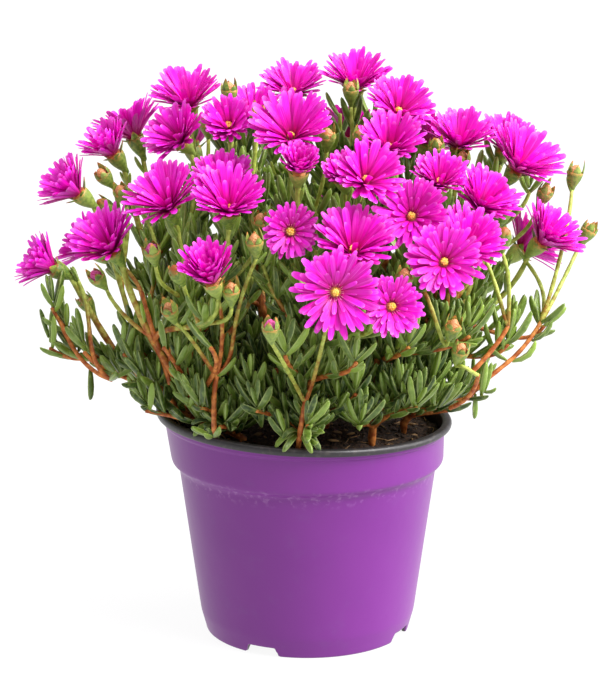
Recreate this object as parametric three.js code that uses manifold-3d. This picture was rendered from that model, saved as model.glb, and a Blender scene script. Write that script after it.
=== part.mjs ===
// A potted ice plant in full flower: a thin plastic nursery pot filled with soil, twelve branching leafy
// stems that stand in it, and the blooms that sit on their ends. Millimetres, +Z up. The pot stands on Z = 0
// round the Z axis, and the viewer looks from -Y.
import * as THREE from "three";
import { mergeVertices } from "three/addons/utils/BufferGeometryUtils.js";
import Module from "manifold-3d";

const wasm = await Module();
wasm.setup();

// Pot: a thermoformed 14 cm grower's pot with a stepped collar and a thin rolled lip
const POT = {
  lipRadius: 70,
  height: 106,
  wall: 1.3,
  footRadius: 48.6,
  footHeight: 6.6,
  footRing: 1.8,
  floorHeight: 5,
  bellyRadius: 51.2,
  shoulderRadius: 60.8,
  shoulderHeight: 80.5,
  collarRadius: 64.4,
  collarHeight: 84.5,
  neckRadius: 66,
  neckHeight: 100.8,
  lipDrop: 3.2,
  lipRound: 1.2,
  sides: 32,
};
// The thin lip is pulled a little out of true: up and outwards on the left, down on the right
const LIP_TILT = 3.2;
const LIP_SHIFT = 1.8;
const LIP_BEND_FROM = 84;
// Drain notches in the foot
const NOTCH = { count: 4, firstTurn: -26, width: 18, topWidth: 13, height: 4.3, depth: 14, inset: 7 };

// Soil, 8 mm under the lip and heaped towards the middle
const SOIL = { level: 97, heap: 5, lumps: 1.2, clear: 1.5, gap: 0.4, draft: 0.6, rings: 2, sides: 16 };

// Stems: an inner ring that carries the crown and an outer ring that carries the sides
const INNER_STEMS = { count: 3, radius: 17, firstTurn: 30 };
const OUTER_STEMS = { count: 9, radius: 46, firstTurn: 0 };
const CROWN_RADIUS = 50;
const STEM = { root: 2, top: 1.4, sides: 4, steps: 5, sunk: 8, holeGap: 0.6, holeDepth: 9 };
// How a stem sets off: upright under the crown, and more and more outwards from the near to the far radius
const SET_OFF = { near: 40, far: 120, outwards: 0.85, up: 0.42, out: 0.5, arrive: 0.34 };
// A stalk comes up nearly upright and bends at its neck: the share of the bloom's own way in its last stretch
const NECK = 0.45;
const BRANCH = { root: 0.95, top: 1.2, sides: 4, steps: 3, leave: 0.3, arrive: 0.4 };
// Where branches leave the leader, as shares of its length: the first, the step to the next, how many steps
const FORKS = { first: 0.22, step: 0.13, count: 4 };
// How far a branch turns from its parent towards its own end as it sets off
const FORK_TURN = 1.5;
// A calyx below a bloom and a closed bud: radii as shares of the width, and their places back from the end
const CALYX = { length: 9, width: 4.3, seat: 0.35, bulge: 0.82, bulgeAt: 0.38 };
const BUD = { length: 13, width: 3.6, root: 0.6, top: 0.95, sides: 4, steps: 1, from: 0.6, room: 8 };
const BUD_RINGS = [
  { back: 0.5, share: 0.9 },
  { back: 0.16, share: 0.72 },
];
const LEAF = { length: 16.5, width: 2.3, widest: 0.54, beyond: 0.34, upturn: 0.14, lean: 46, tipLean: 24 };
// Leaves, side shoots and buds are tested a little fatter than they are, and left off where they would cross
const TEST_FAT = { core: 1.05, tuftLeaf: 1.2, leaf: 1.35, sprig: 1.35 };

// The dome of flower bases: half widths across, front to back and up from its centre
const DOME = { height: 150, across: 112, deep: 104, high: 98 };

// The line of sight: where the picture was taken from, in mm, and how many picture units one unit of slope is
const EYE = new THREE.Vector3(0, -1064, 385);
const VIEW = { tilt: 13, focal: 2325, axisU: 307.5, centreV: 341.5 };

// Blooms seen from the front: the base of the petals at u, v in the picture, how many mm it lies behind
// the dome, its turn from the viewer and lift above level in degrees, petal length in mm, and petal rise
const SEEN_BLOOMS = [
  [53, 268, 0, -78, 28, 17, 50],
  [82, 191, 0, -68, 40, 19, 50],
  [112, 154, 12, -58, 54, 17, 50],
  [135, 137, 34, -100, 66, 21, 40],
  [113, 249, -4, -38, 48, 20, 46],
  [168, 208, 0, -30, 52, 20, 42],
  [190, 114, 24, -22, 66, 20, 38],
  [182, 138, -6, -38, 40, 17, 42],
  [229, 136, 2, -4, 42, 14, 42],
  [228, 210, -2, 2, 56, 20, 44],
  [222, 184, 22, -8, 62, 19, 48],
  [212, 281, -4, -18, 52, 19, 62],
  [250, 116, 24, -2, 66, 17, 46],
  [294, 141, 2, -4, 50, 21, 36],
  [299, 170, -10, 4, 52, 13, 60],
  [292, 232, 6, -2, 12, 12, 22],
  [291, 94, 40, -6, 66, 18, 34],
  [356, 88, 26, 4, 66, 19, 42],
  [398, 113, 6, 16, 50, 18, 34],
  [343, 176, 4, -10, 48, 12, 54],
  [366, 182, -4, 18, 42, 18, 38],
  [398, 164, 10, 4, 54, 18, 42],
  [437, 184, 6, 8, 56, 15, 42],
  [413, 219, -2, -6, 26, 17, 26],
  [437, 257, -6, 4, 24, 17, 26],
  [459, 146, 14, 14, 66, 19, 42],
  [457, 234, 8, 20, 46, 20, 42],
  [479, 205, 16, 34, 50, 19, 42],
  [503, 148, 30, 26, 62, 17, 44],
  [516, 170, -4, 48, 52, 22, 42],
  [541, 242, 0, 56, 46, 19, 48],
  [338, 290, -14, 0, 8, 18, 12],
  [357, 256, 2, 6, 52, 20, 38],
  [388, 303, -12, 8, 14, 13.5, 26],
];
// Blooms on the far side, in even rows: lift of the row on the dome, how many, and the turn of the first
const FAR_ROWS = [
  { lift: 16, count: 5, first: 108, last: 252, petal: 19, rise: 36 },
  { lift: 50, count: 4, first: 128, last: 230, petal: 20, rise: 32 },
];
const FAR_REACH = 1.06;
// Lift of a far bloom's own axis, from the lift of its row
const FAR_AXIS = { share: 0.7, more: 24 };
// Buds seen from the front: the tip of the bud at u, v, mm behind the dome, turn and lift
const SEEN_BUDS = [
  [97, 168, 0, -60, 50],
  [118, 184, -4, -30, 60],
  [229, 80, -16, -6, 84],
  [258, 105, -14, 10, 70],
  [206, 114, 2, -10, 70],
  [150, 242, -8, -20, 64],
  [91, 270, 0, -50, 50],
  [173, 266, -8, -30, 50],
  [166, 302, 12, -30, 56],
  [231, 281, 2, 0, 72],
  [261, 212, 14, 14, 66],
  [254, 232, -10, -10, 70],
  [270, 318, -18, -10, 70],
  [351, 80, 4, 0, 78],
  [328, 127, -4, 6, 66],
  [362, 126, -2, 10, 70],
  [437, 137, -12, 0, 74],
  [463, 150, -6, 0, 60],
  [391, 184, 2, 10, 78],
  [506, 205, -6, 24, 60],
  [505, 227, -10, 10, 72],
  [577, 163, 10, 60, 80],
  [594, 222, 16, 90, 60],
  [550, 184, 0, 60, 62],
  [405, 267, -8, 0, 70],
  [456, 318, 14, 30, 62],
  [463, 342, 10, 30, 66],
  [97, 200, 0, -70, 40],
];
// One bud beside each far bloom
const FAR_BUD = { turn: 14, drop: 16, lift: 56 };

// Leafy side shoots, spread by the golden angle over four levels of the low foliage. The room is the mm3 that
// one may share with its own stem's foliage.
const SPRIGS = { count: 8, goldenTurn: 137.508, steps: 2, sides: 3, root: 1.1, top: 0.9 };
const SPRIG_PLACE = { spread: 14, room: 16 };
const SPRIG_LEVELS = [
  { radius: 78, height: 116, from: 0.03, lift: 16 },
  { radius: 64, height: 132, from: 0.08, lift: 46 },
  { radius: 34, height: 136, from: 0.12, lift: 62 },
  { radius: 86, height: 154, from: 0.24, lift: 40 },
];
const SPRIG_PAIRS = [0.5, 0.93];
// Leafy side shoots seen at the sides and over the rim: the tip at u, v in the picture, how many mm it
// stands in front of the pot's axis, its turn and lift, and the share of the leader at which it leaves
const SEEN_SPRIGS = [
  [50, 348, 12, -84, 42, 0.5],
  [84, 352, 22, -76, 54, 0.34],
  [124, 354, 32, -60, 60, 0.2],
  [142, 380, 40, -62, 20, 0.12],
  [544, 326, 14, 84, 60, 0.5],
  [508, 344, 24, 70, 58, 0.34],
  [484, 398, 30, 70, 10, 0.12],
  [216, 428, 62, -38, 2, 0.02],
  [297, 446, 75, -6, -6, 0.02],
];
// The dense tuft of leaves round the foot of each stem, with a slim core that the leaves stand out of
const TUFT = { core: 6.5, from: 0.03, to: 0.3, sides: 5, leaves: 10, lowLean: 74, topLean: 28, room: 12 };
const TUFT_LEAVES = { first: 0.12, last: 0.88, rootOut: 0.4 };
const TUFT_RINGS = [
  { share: 0, radius: 0 },
  { share: 0.3, radius: 1 },
  { share: 0.75, radius: 0.85 },
  { share: 1, radius: 0 },
];
const STEM_PAIRS = [0.5];

// A bloom: its petals, how much of one is hidden in the calyx, where the cuts between them end and half the
// turn that one spans. The inner petals are shorter and steeper. Then the base and the boss of stamens.
const PETALS = { count: 12, hidden: 2.6, root: 0.42, rootSag: 0.85, halfTurn: 11.4, thickness: 0.85 };
const INNER_PETALS = { length: 0.86, spread: 9, steepest: 66 };
const BOSS = { sides: 6, turn: 0.25, underRadius: 3.2, underHeight: 0.3, radius: 2.7, height: 2, top: 4 };

// Crowded blooms push each other apart in small steps, mostly towards and away from the viewer, until their
// sample points are this many mm apart, so that no petals cross
const SPREAD = { rounds: 160, petals: 7.2, stalk: 6.6, share: 0.5, across: 0.25, reach: 62 };
// Rings of sample points on the petals, as how many and how far out, and distances back along the stalk
const FAN_RINGS = [
  [20, 1.03],
  [14, 0.65],
  [7, 0.3],
];
const STALK_BACKS = [4, 9, 15, 22, 30];

// mm3 that a leaf may share with another piece of its own stem
const ROOT_ROOM = 2.5;

const UP = new THREE.Vector3(0, 0, 1);
const { lerp, clamp, degToRad, radToDeg } = THREE.MathUtils;

function heading(turn, lift = 0) {
  const t = degToRad(turn);
  const l = degToRad(lift);
  return new THREE.Vector3(Math.sin(t) * Math.cos(l), -Math.cos(t) * Math.cos(l), Math.sin(l));
}

function turnOf(point) {
  return radToDeg(Math.atan2(point.x, -point.y));
}

// A repeatable draw between 0 and 1 for each whole number
function chance(n) {
  const s = Math.sin(n * 12.9898) * 43758.5453;
  return s - Math.floor(s);
}

function at(point, direction, distance) {
  return point.clone().addScaledVector(direction, distance);
}

// The direction of the line of sight through u, v
function sight(u, v) {
  const tilt = degToRad(VIEW.tilt);
  return new THREE.Vector3(0, Math.cos(tilt), -Math.sin(tilt))
    .multiplyScalar(VIEW.focal)
    .add(new THREE.Vector3(u - VIEW.axisU, 0, 0))
    .addScaledVector(new THREE.Vector3(0, Math.sin(tilt), Math.cos(tilt)), VIEW.centreV - v)
    .normalize();
}

// The point on that line that stands some mm in front of the pot's axis
function inFront(u, v, front) {
  const ray = sight(u, v);
  return at(EYE, ray, (-front - EYE.y) / ray.y);
}

// The point where the line of sight through u, v first meets the dome, or passes it closest
function onDome(u, v, behind) {
  const ray = sight(u, v);
  const half = new THREE.Vector3(DOME.across, DOME.deep, DOME.high);
  const from = EYE.clone().sub(new THREE.Vector3(0, 0, DOME.height)).divide(half);
  const along = ray.clone().divide(half);
  const a = along.dot(along);
  const b = from.dot(along);
  const inside = Math.max(0, b * b - a * (from.dot(from) - 1));
  return at(EYE, ray, (-b - Math.sqrt(inside)) / a + behind);
}

// A closed mesh from points and triangles
function closedGeometry(points, triangles) {
  const geometry = new THREE.BufferGeometry();
  geometry.setAttribute("position", new THREE.Float32BufferAttribute(points.flatMap((p) => p.toArray()), 3));
  geometry.setIndex(triangles.flat());
  return geometry;
}

function solidOf(geometry) {
  const bare = geometry.clone();
  bare.deleteAttribute("normal");
  bare.deleteAttribute("uv");
  const merged = mergeVertices(bare, 1e-4);
  const triVerts = new Uint32Array(merged.index.array);
  return new wasm.Manifold(
    new wasm.Mesh({ numProp: 3, vertProperties: merged.attributes.position.array, triVerts }),
  );
}

function geometryOf(solid) {
  const mesh = solid.getMesh();
  const geometry = new THREE.BufferGeometry();
  const place = new Float32Array(mesh.numVert * 3);
  for (let i = 0; i < mesh.numVert; i++) {
    place.set(mesh.vertProperties.subarray(i * mesh.numProp, i * mesh.numProp + 3), i * 3);
  }
  geometry.setAttribute("position", new THREE.BufferAttribute(place, 3));
  geometry.setIndex(new THREE.BufferAttribute(new Uint32Array(mesh.triVerts), 1));
  return geometry;
}

// A rod of changing radius through points, closed at both ends; a radius of 0 brings the end to a point
function rod(points, radii, sides) {
  const places = [];
  const triangles = [];
  const rings = [];
  let across = new THREE.Vector3(1, 0.3, 0.2);
  points.forEach((p, i) => {
    const ahead = points[Math.min(i + 1, points.length - 1)];
    const along = ahead.clone().sub(points[Math.max(i - 1, 0)]).normalize();
    across = at(across, along, -across.dot(along)).normalize();
    const other = along.clone().cross(across);
    const count = radii[i] > 0 ? sides : 1;
    rings.push([]);
    for (let k = 0; k < count; k++) {
      const angle = (2 * Math.PI * k) / sides;
      rings[i].push(places.length);
      places.push(at(at(p, across, radii[i] * Math.cos(angle)), other, radii[i] * Math.sin(angle)));
    }
  });
  for (let i = 0; i + 1 < rings.length; i++) {
    for (let k = 0; k < sides; k++) {
      const next = (k + 1) % sides;
      const low = rings[i];
      const high = rings[i + 1];
      if (low.length === 1) triangles.push([low[0], high[next], high[k]]);
      else if (high.length === 1) triangles.push([low[k], low[next], high[0]]);
      else triangles.push([low[k], low[next], high[next]], [low[k], high[next], high[k]]);
    }
  }
  const first = rings[0];
  const last = rings[rings.length - 1];
  for (let k = 1; k + 1 < sides; k++) {
    if (first.length > 1) triangles.push([first[0], first[k + 1], first[k]]);
    if (last.length > 1) triangles.push([last[0], last[k], last[k + 1]]);
  }
  return closedGeometry(places, triangles);
}

// The lip's pull out of true, worked on a pot or soil geometry
function pullLip(geometry) {
  const place = geometry.attributes.position;
  for (let i = 0; i < place.count; i++) {
    const share = clamp((place.getZ(i) - LIP_BEND_FROM) / (POT.height - LIP_BEND_FROM), 0, 1);
    const x = place.getX(i);
    place.setZ(i, place.getZ(i) - (share * LIP_TILT * x) / POT.lipRadius);
    place.setX(i, x - share * LIP_SHIFT);
  }
  return geometry;
}

// The inside of the pot from the floor up to the lip
function innerProfile(inset) {
  const w = POT.wall + inset;
  return [
    [POT.bellyRadius - w, POT.floorHeight + w],
    [POT.shoulderRadius - w, POT.shoulderHeight],
    [POT.collarRadius - w, POT.collarHeight],
    [POT.neckRadius - w, POT.neckHeight],
  ];
}

function turned(profile, sides) {
  const outline = profile.map(([r, z]) => new THREE.Vector2(r, z));
  return new THREE.LatheGeometry(outline, sides).rotateX(Math.PI / 2);
}

function potGeometry() {
  const lipUnder = POT.height - POT.lipDrop;
  const outside = [
    [0, POT.floorHeight],
    [POT.footRadius - POT.footRing, POT.floorHeight],
    [POT.footRadius - POT.footRing, 0],
    [POT.footRadius, 0],
    [POT.bellyRadius, POT.footHeight],
    [POT.shoulderRadius, POT.shoulderHeight],
    [POT.collarRadius, POT.collarHeight],
    [POT.neckRadius, POT.neckHeight],
    [POT.lipRadius, lipUnder],
    [POT.lipRadius, POT.height - POT.lipRound],
    [POT.lipRadius - POT.lipRound, POT.height],
    [POT.neckRadius, POT.height],
  ];
  const inside = innerProfile(0).reverse();
  const body = turned([...outside, ...inside, [0, POT.floorHeight + POT.wall]], POT.sides);
  let pot = solidOf(pullLip(body));
  const half = NOTCH.width / 2;
  const halfTop = NOTCH.topWidth / 2;
  const gap = new THREE.Shape([
    new THREE.Vector2(-half, -NOTCH.height),
    new THREE.Vector2(half, -NOTCH.height),
    new THREE.Vector2(halfTop, NOTCH.height),
    new THREE.Vector2(-halfTop, NOTCH.height),
  ]);
  for (let i = 0; i < NOTCH.count; i++) {
    const turn = degToRad(NOTCH.firstTurn + (360 / NOTCH.count) * i);
    const notch = new THREE.ExtrudeGeometry(gap, { depth: NOTCH.depth, bevelEnabled: false })
      .rotateX(Math.PI / 2)
      .translate(0, NOTCH.inset - POT.footRadius, 0)
      .rotateZ(turn);
    pot = pot.subtract(solidOf(notch));
  }
  return geometryOf(pot);
}

// Height of the soil's top at a share of the way from the middle to its edge
const SOIL_EDGE = POT.neckRadius - POT.wall - SOIL.gap - SOIL.draft;

function soilHeight(share) {
  return SOIL.level + SOIL.heap * (1 - share * share);
}

// Soil: a plug that fills the pot, heaped in the middle with a lumpy top, holding a plain hole for each stem
function soilGeometry(feet) {
  const profile = [[0, POT.floorHeight + POT.wall + SOIL.gap]];
  profile.push(...innerProfile(SOIL.gap));
  profile.pop();
  for (let ring = 0; ring <= SOIL.rings; ring++) {
    const share = 1 - ring / SOIL.rings;
    profile.push([SOIL_EDGE * share, soilHeight(share)]);
  }
  const body = mergeVertices(dropNormals(turned(profile, SOIL.sides)), 1e-3);
  const place = body.attributes.position;
  for (let i = 0; i < place.count; i++) {
    const inner = place.getZ(i) > SOIL.level;
    if (inner) place.setZ(i, place.getZ(i) + SOIL.lumps * (2 * chance(i) - 1));
  }
  let soil = solidOf(pullLip(body));
  for (const foot of feet) {
    const bottom = new THREE.Vector3(foot.x, foot.y, SOIL.level - STEM.holeDepth);
    const radius = STEM.root + STEM.holeGap;
    const hole = rod([bottom, at(foot, UP, STEM.holeDepth)], [radius, radius], STEM.sides);
    soil = soil.subtract(solidOf(hole));
  }
  return geometryOf(soil);
}

function dropNormals(geometry) {
  geometry.deleteAttribute("normal");
  geometry.deleteAttribute("uv");
  return geometry;
}

// A bloom as one thin cupped blade, cut into petals from its edge to near the middle. Long petals lie lower
// and short ones stand higher between them, so there are two layers, round a raised boss of stamens. The
// under and the upper face are split alike: a middle point, a ring of points and the outline.
function bloomGeometry({ hub, axis, petal, rise, spin }) {
  const { side, other } = crossways(axis);
  const free = petal - PETALS.hidden;
  const place = (turn, r, z) =>
    at(at(at(hub, side, r * Math.cos(turn)), other, r * Math.sin(turn)), axis, z);
  const outline = [];
  for (let i = 0; i < PETALS.count; i++) {
    const long = i % 2 === 0;
    const lift = degToRad(rise + (long ? -1 : 1) * INNER_PETALS.spread);
    const length = free * (long ? 1 : INNER_PETALS.length) * lerp(0.94, 1.06, chance(spin * 31 + i));
    const middle = spin + (2 * Math.PI * i) / PETALS.count;
    const root = BOSS.underRadius + free * PETALS.root * Math.cos(degToRad(rise));
    const rootRise = free * PETALS.root * Math.sin(degToRad(rise)) * PETALS.rootSag;
    outline.push([middle - Math.PI / PETALS.count, root, rootRise]);
    for (const turn of [-PETALS.halfTurn, PETALS.halfTurn]) {
      const r = BOSS.underRadius + length * Math.cos(lift);
      outline.push([middle + degToRad(turn), r, length * Math.sin(lift)]);
    }
  }
  const steepest = degToRad(Math.min(rise + INNER_PETALS.spread, INNER_PETALS.steepest));
  const thick = PETALS.thickness / Math.cos(steepest);
  const ring = (r, z) =>
    Array.from({ length: BOSS.sides }, (_, k) =>
      place(spin + (2 * Math.PI * (k + BOSS.turn)) / BOSS.sides, r, z),
    );
  const points = [
    hub.clone(),
    ...ring(BOSS.underRadius, BOSS.underHeight),
    ...outline.map(([turn, r, z]) => place(turn, r, z + BOSS.underHeight)),
    at(hub, axis, BOSS.top),
    ...ring(BOSS.radius, BOSS.height),
    ...outline.map(([turn, r, z]) => place(turn, r, z + BOSS.underHeight + thick)),
  ];
  const face = [];
  const edge = BOSS.sides + 1;
  const n = outline.length;
  for (let i = 0; i < n; i++) {
    const near = Math.floor((i * BOSS.sides) / n);
    const nextNear = Math.floor(((i + 1) * BOSS.sides) / n) % BOSS.sides;
    face.push([1 + near, edge + i, edge + ((i + 1) % n)]);
    if (nextNear !== near) {
      face.push([1 + near, edge + ((i + 1) % n), 1 + nextNear]);
      face.push([0, 1 + near, 1 + nextNear]);
    }
  }
  const upper = points.length / 2;
  const triangles = [...face.map((t) => t.map((v) => v + upper)), ...face.map(([p, q, r]) => [p, r, q])];
  for (let i = 0; i < n; i++) {
    const low = edge + i;
    const next = edge + ((i + 1) % n);
    triangles.push([low, next, next + upper], [low, next + upper, low + upper]);
  }
  return closedGeometry(points, triangles);
}

// Two directions square to an axis and to each other, worked out from one that no axis follows
const OFF_AXIS = new THREE.Vector3(0.31, 0.17, 0.93);

function crossways(axis) {
  const side = OFF_AXIS.clone().cross(axis).normalize();
  return { side, other: axis.clone().cross(side) };
}

// All blooms: those seen from the front stand on the line of sight, the far ones in rows
function planBlooms() {
  const seen = SEEN_BLOOMS.map(([u, v, behind, turn, lift, petal, rise]) => ({
    hub: onDome(u, v, behind),
    axis: heading(turn, lift),
    petal,
    rise,
  }));
  const far = FAR_ROWS.flatMap(({ lift, count, first, last, petal, rise }) =>
    Array.from({ length: count }, (_, i) => {
      const turn = lerp(first, last, i / (count - 1));
      const half = new THREE.Vector3(DOME.across, DOME.deep * FAR_REACH, DOME.high);
      const hub = heading(turn, lift).multiply(half);
      hub.z += DOME.height;
      return { hub, axis: heading(turn, lift * FAR_AXIS.share + FAR_AXIS.more), petal, rise };
    }),
  );
  return [...seen, ...far].map((bloom, i) => ({ ...bloom, spin: chance(i + 5) * 6 }));
}

// Sample points of a bloom: its petals, and the stalk that comes up behind them
function fanPoints({ hub, axis, petal, rise }) {
  const { side, other } = crossways(axis);
  const lift = degToRad(rise);
  const points = [hub.clone()];
  for (const [count, share] of FAN_RINGS) {
    const free = (petal - PETALS.hidden) * share;
    const r = BOSS.underRadius + free * Math.cos(lift);
    for (let i = 0; i < count; i++) {
      const turn = (2 * Math.PI * i) / count;
      const out = at(at(hub, side, r * Math.cos(turn)), other, r * Math.sin(turn));
      points.push(at(out, axis, free * Math.sin(lift)));
    }
  }
  return points;
}

function stalkPoints({ hub, axis }) {
  return STALK_BACKS.map((back) => at(hub, axis, -back));
}

function spreadApart(blooms) {
  const flex = new THREE.Vector3(SPREAD.across, 1, SPREAD.across);
  for (let round = 0; round < SPREAD.rounds; round++) {
    for (let i = 0; i < blooms.length; i++) {
      for (let j = 0; j < blooms.length; j++) {
        if (i === j || blooms[i].hub.distanceTo(blooms[j].hub) > SPREAD.reach) continue;
        push(blooms[i], blooms[j], fanPoints(blooms[i]), fanPoints(blooms[j]), SPREAD.petals, flex);
        push(blooms[i], blooms[j], fanPoints(blooms[i]), stalkPoints(blooms[j]), SPREAD.stalk, flex);
      }
    }
  }
}

function push(one, two, onePoints, twoPoints, clear, flex) {
  let closest = clear;
  let apart = null;
  for (const p of onePoints) {
    for (const q of twoPoints) {
      const d = p.distanceTo(q);
      if (d < closest) {
        closest = d;
        apart = p.clone().sub(q);
      }
    }
  }
  if (!apart) return;
  const hubsApart = one.hub.clone().sub(two.hub).normalize();
  apart.normalize().add(hubsApart).multiply(flex).normalize();
  apart.multiplyScalar(((clear - closest) / 2) * SPREAD.share);
  one.hub.add(apart);
  two.hub.sub(apart);
}

// Where each stem stands in the soil
function planFeet() {
  return [INNER_STEMS, OUTER_STEMS].flatMap(({ count, radius, firstTurn }, ring) =>
    Array.from({ length: count }, (_, i) => {
      const turn = firstTurn + (360 / count) * i;
      const foot = heading(turn).multiplyScalar(radius);
      foot.z = soilHeight(radius / SOIL_EDGE) + SOIL.lumps + SOIL.clear;
      return Object.assign(foot, { turn, ring });
    }),
  );
}

// The stem that a point of the dome belongs to: an inner one for the crown, else the outer one on its side
function stemFor(point, feet) {
  const ring = Math.hypot(point.x, point.y) < CROWN_RADIUS ? 0 : 1;
  const turn = turnOf(point);
  let best = 0;
  let least = Infinity;
  feet.forEach((foot, i) => {
    const away = Math.abs(((foot.turn - turn + 540) % 360) - 180);
    if (foot.ring === ring && away < least) {
      least = away;
      best = i;
    }
  });
  return best;
}

// The point at a share of a path of points, and the direction of the path there
function pointOn(path, share) {
  const step = Math.min(Math.floor(share * (path.length - 1)), path.length - 2);
  return path[step].clone().lerp(path[step + 1], share * (path.length - 1) - step);
}

function directionOn(path, share) {
  const step = Math.min(Math.floor(share * (path.length - 1)), path.length - 2);
  return path[step + 1].clone().sub(path[step]).normalize();
}

// The way that a stalk arrives below a bloom or bud that faces along axis
function neck(axis) {
  return UP.clone().lerp(axis, NECK).normalize();
}

// The way up from a foot to an end that points along axis. Stems to the sides set off outwards first.
function mainPath(foot, end, axis) {
  const out = new THREE.Vector3(end.x, end.y, 0);
  const far = clamp((out.length() - SET_OFF.near) / (SET_OFF.far - SET_OFF.near), 0, 1);
  const sideways = far * SET_OFF.outwards;
  const reach = end.distanceTo(foot);
  const upwards = at(foot, UP, reach * SET_OFF.up * (1 - sideways));
  const low = at(upwards, out.normalize(), reach * SET_OFF.out * sideways);
  const high = at(end, neck(axis), -reach * SET_OFF.arrive);
  return new THREE.CubicBezierCurve3(foot, low, high, end).getPoints(STEM.steps);
}

// A branch that leaves a path at a share of it
function branchPath(parent, share, end, axis, steps) {
  const from = pointOn(parent, share);
  const reach = end.distanceTo(from);
  const toEnd = end.clone().sub(from).normalize();
  const setOff = directionOn(parent, share).addScaledVector(toEnd, FORK_TURN).normalize();
  const low = at(from, setOff, reach * BRANCH.leave);
  const high = at(end, axis, -reach * BRANCH.arrive);
  return new THREE.CubicBezierCurve3(from, low, high, end).getPoints(steps);
}

function tapered(points, from, to) {
  return points.map((_, i) => lerp(from, to, i / (points.length - 1)));
}

// A stalk and the calyx at its end, up to the seat of the bloom
function flowerStalk(path, { root, top, sides }, hub, axis) {
  const bulge = at(hub, axis, -CALYX.length * CALYX.bulgeAt);
  const points = [...path, bulge, at(hub, axis, -CALYX.seat)];
  const radii = [...tapered(path, root, top), CALYX.width * CALYX.bulge, CALYX.width];
  return rod(points, radii, sides);
}

// A stalk that ends in a closed bud
function budStalk(path, tip, axis) {
  const points = [...path, ...BUD_RINGS.map(({ back }) => at(tip, axis, -BUD.length * back)), tip];
  const radii = [...tapered(path, BUD.root, BUD.top), ...BUD_RINGS.map(({ share }) => BUD.width * share), 0];
  return rod(points, radii, BUD.sides);
}

// A leaf: a plump three-sided finger that leaves the stem outwards and curves up along it
function leafRod({ root, along, out, length, lean }, fat) {
  const away = along.clone().multiplyScalar(Math.cos(lean)).addScaledVector(out, Math.sin(lean));
  const middle = at(root, away, length * LEAF.widest);
  const tip = at(at(middle, away, length * LEAF.beyond), along, length * LEAF.upturn);
  return rod([root, middle, tip], [0, LEAF.width * fat, 0], 3);
}

// Two opposite leaves at a share of a path; each pair is turned a quarter from the one below it
function leafPair(path, share, quarter, seed) {
  const root = pointOn(path, share);
  const along = directionOn(path, share);
  const { side, other } = crossways(along);
  const turn = (Math.PI / 2) * quarter + 0.5 * chance(seed);
  const lean = degToRad(lerp(LEAF.lean, LEAF.tipLean, share));
  const out = side.multiplyScalar(Math.cos(turn)).addScaledVector(other, Math.sin(turn));
  return [1, -1].map((sign, i) => ({
    root,
    along,
    out: out.clone().multiplyScalar(sign),
    length: LEAF.length * lerp(0.8, 1.15, chance(seed + 7 + i)),
    lean,
  }));
}

// Pieces already placed, so that a leaf, bud or side shoot that would cross another stem or bloom is left off
const placed = [];
function remember(owner, solid) {
  placed.push({ owner, solid, box: solid.boundingBox() });
}

// A piece may share no room with another stem's, and only a little, such as at a root, with its own stem's
function isClear(owner, solid, parent, ownRoom) {
  const box = solid.boundingBox();
  return placed.every(
    (other) =>
      other.solid === parent ||
      [0, 1, 2].some((k) => other.box.min[k] > box.max[k] || other.box.max[k] < box.min[k]) ||
      other.solid.intersect(solid).volume() <= (other.owner === owner ? ownRoom : 1e-6),
  );
}

// Adds a piece to a stem if it is clear; the test piece is a little fatter than the piece itself
function addIfClear(stem, geometry, testGeometry, parent, ownRoom = ROOT_ROOM) {
  if (!isClear(stem.index, solidOf(testGeometry), parent, ownRoom)) return null;
  const solid = solidOf(geometry);
  remember(stem.index, solid);
  stem.pieces.push(solid);
  return solid;
}

function addLeaves(stem, { path, solid }, shares, seed) {
  shares.forEach((share, i) => {
    for (const leaf of leafPair(path, share, i, seed * 17 + i * 3)) {
      addIfClear(stem, leafRod(leaf, 1), leafRod(leaf, TEST_FAT.leaf), solid);
    }
  });
}

const feet = planFeet();
const blooms = planBlooms();
spreadApart(blooms);

const bloomMeshes = blooms.map((bloom, i) => {
  const geometry = bloomGeometry(bloom);
  remember("bloom" + i, solidOf(geometry));
  return geometry;
});
const pot = potGeometry();
const soil = soilGeometry(feet);
remember("pot", solidOf(pot));
remember("soil", solidOf(soil));

// The flowering frame of each stem: a leader to its first bloom and a branch to each other bloom
const stems = feet.map((foot, index) => ({ foot, index, stalks: [], pieces: [] }));
blooms.forEach((bloom) => {
  const stem = stems[stemFor(bloom.hub, feet)];
  const end = at(bloom.hub, bloom.axis, -CALYX.length);
  const first = stem.stalks.length === 0;
  const share = FORKS.first + FORKS.step * ((stem.stalks.length - 1) % FORKS.count);
  const path = first
    ? mainPath(stem.foot, end, bloom.axis)
    : branchPath(stem.stalks[0].path, share, end, neck(bloom.axis), BRANCH.steps);
  const sunk = first ? [new THREE.Vector3(stem.foot.x, stem.foot.y, SOIL.level - STEM.sunk)] : [];
  const solid = solidOf(flowerStalk([...sunk, ...path], first ? STEM : BRANCH, bloom.hub, bloom.axis));
  stem.stalks.push({ path, solid });
  stem.pieces.push(solid);
  remember(stem.index, solid);
});

// Buds branch off the flower stalk whose end is nearest
function nearestStalk(point) {
  let best = null;
  stems.forEach((stem) => {
    stem.stalks.forEach((stalk) => {
      const away = stalk.path[stalk.path.length - 1].distanceTo(point);
      if (!best || away < best.away) best = { away, stem, stalk };
    });
  });
  return best;
}

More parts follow.
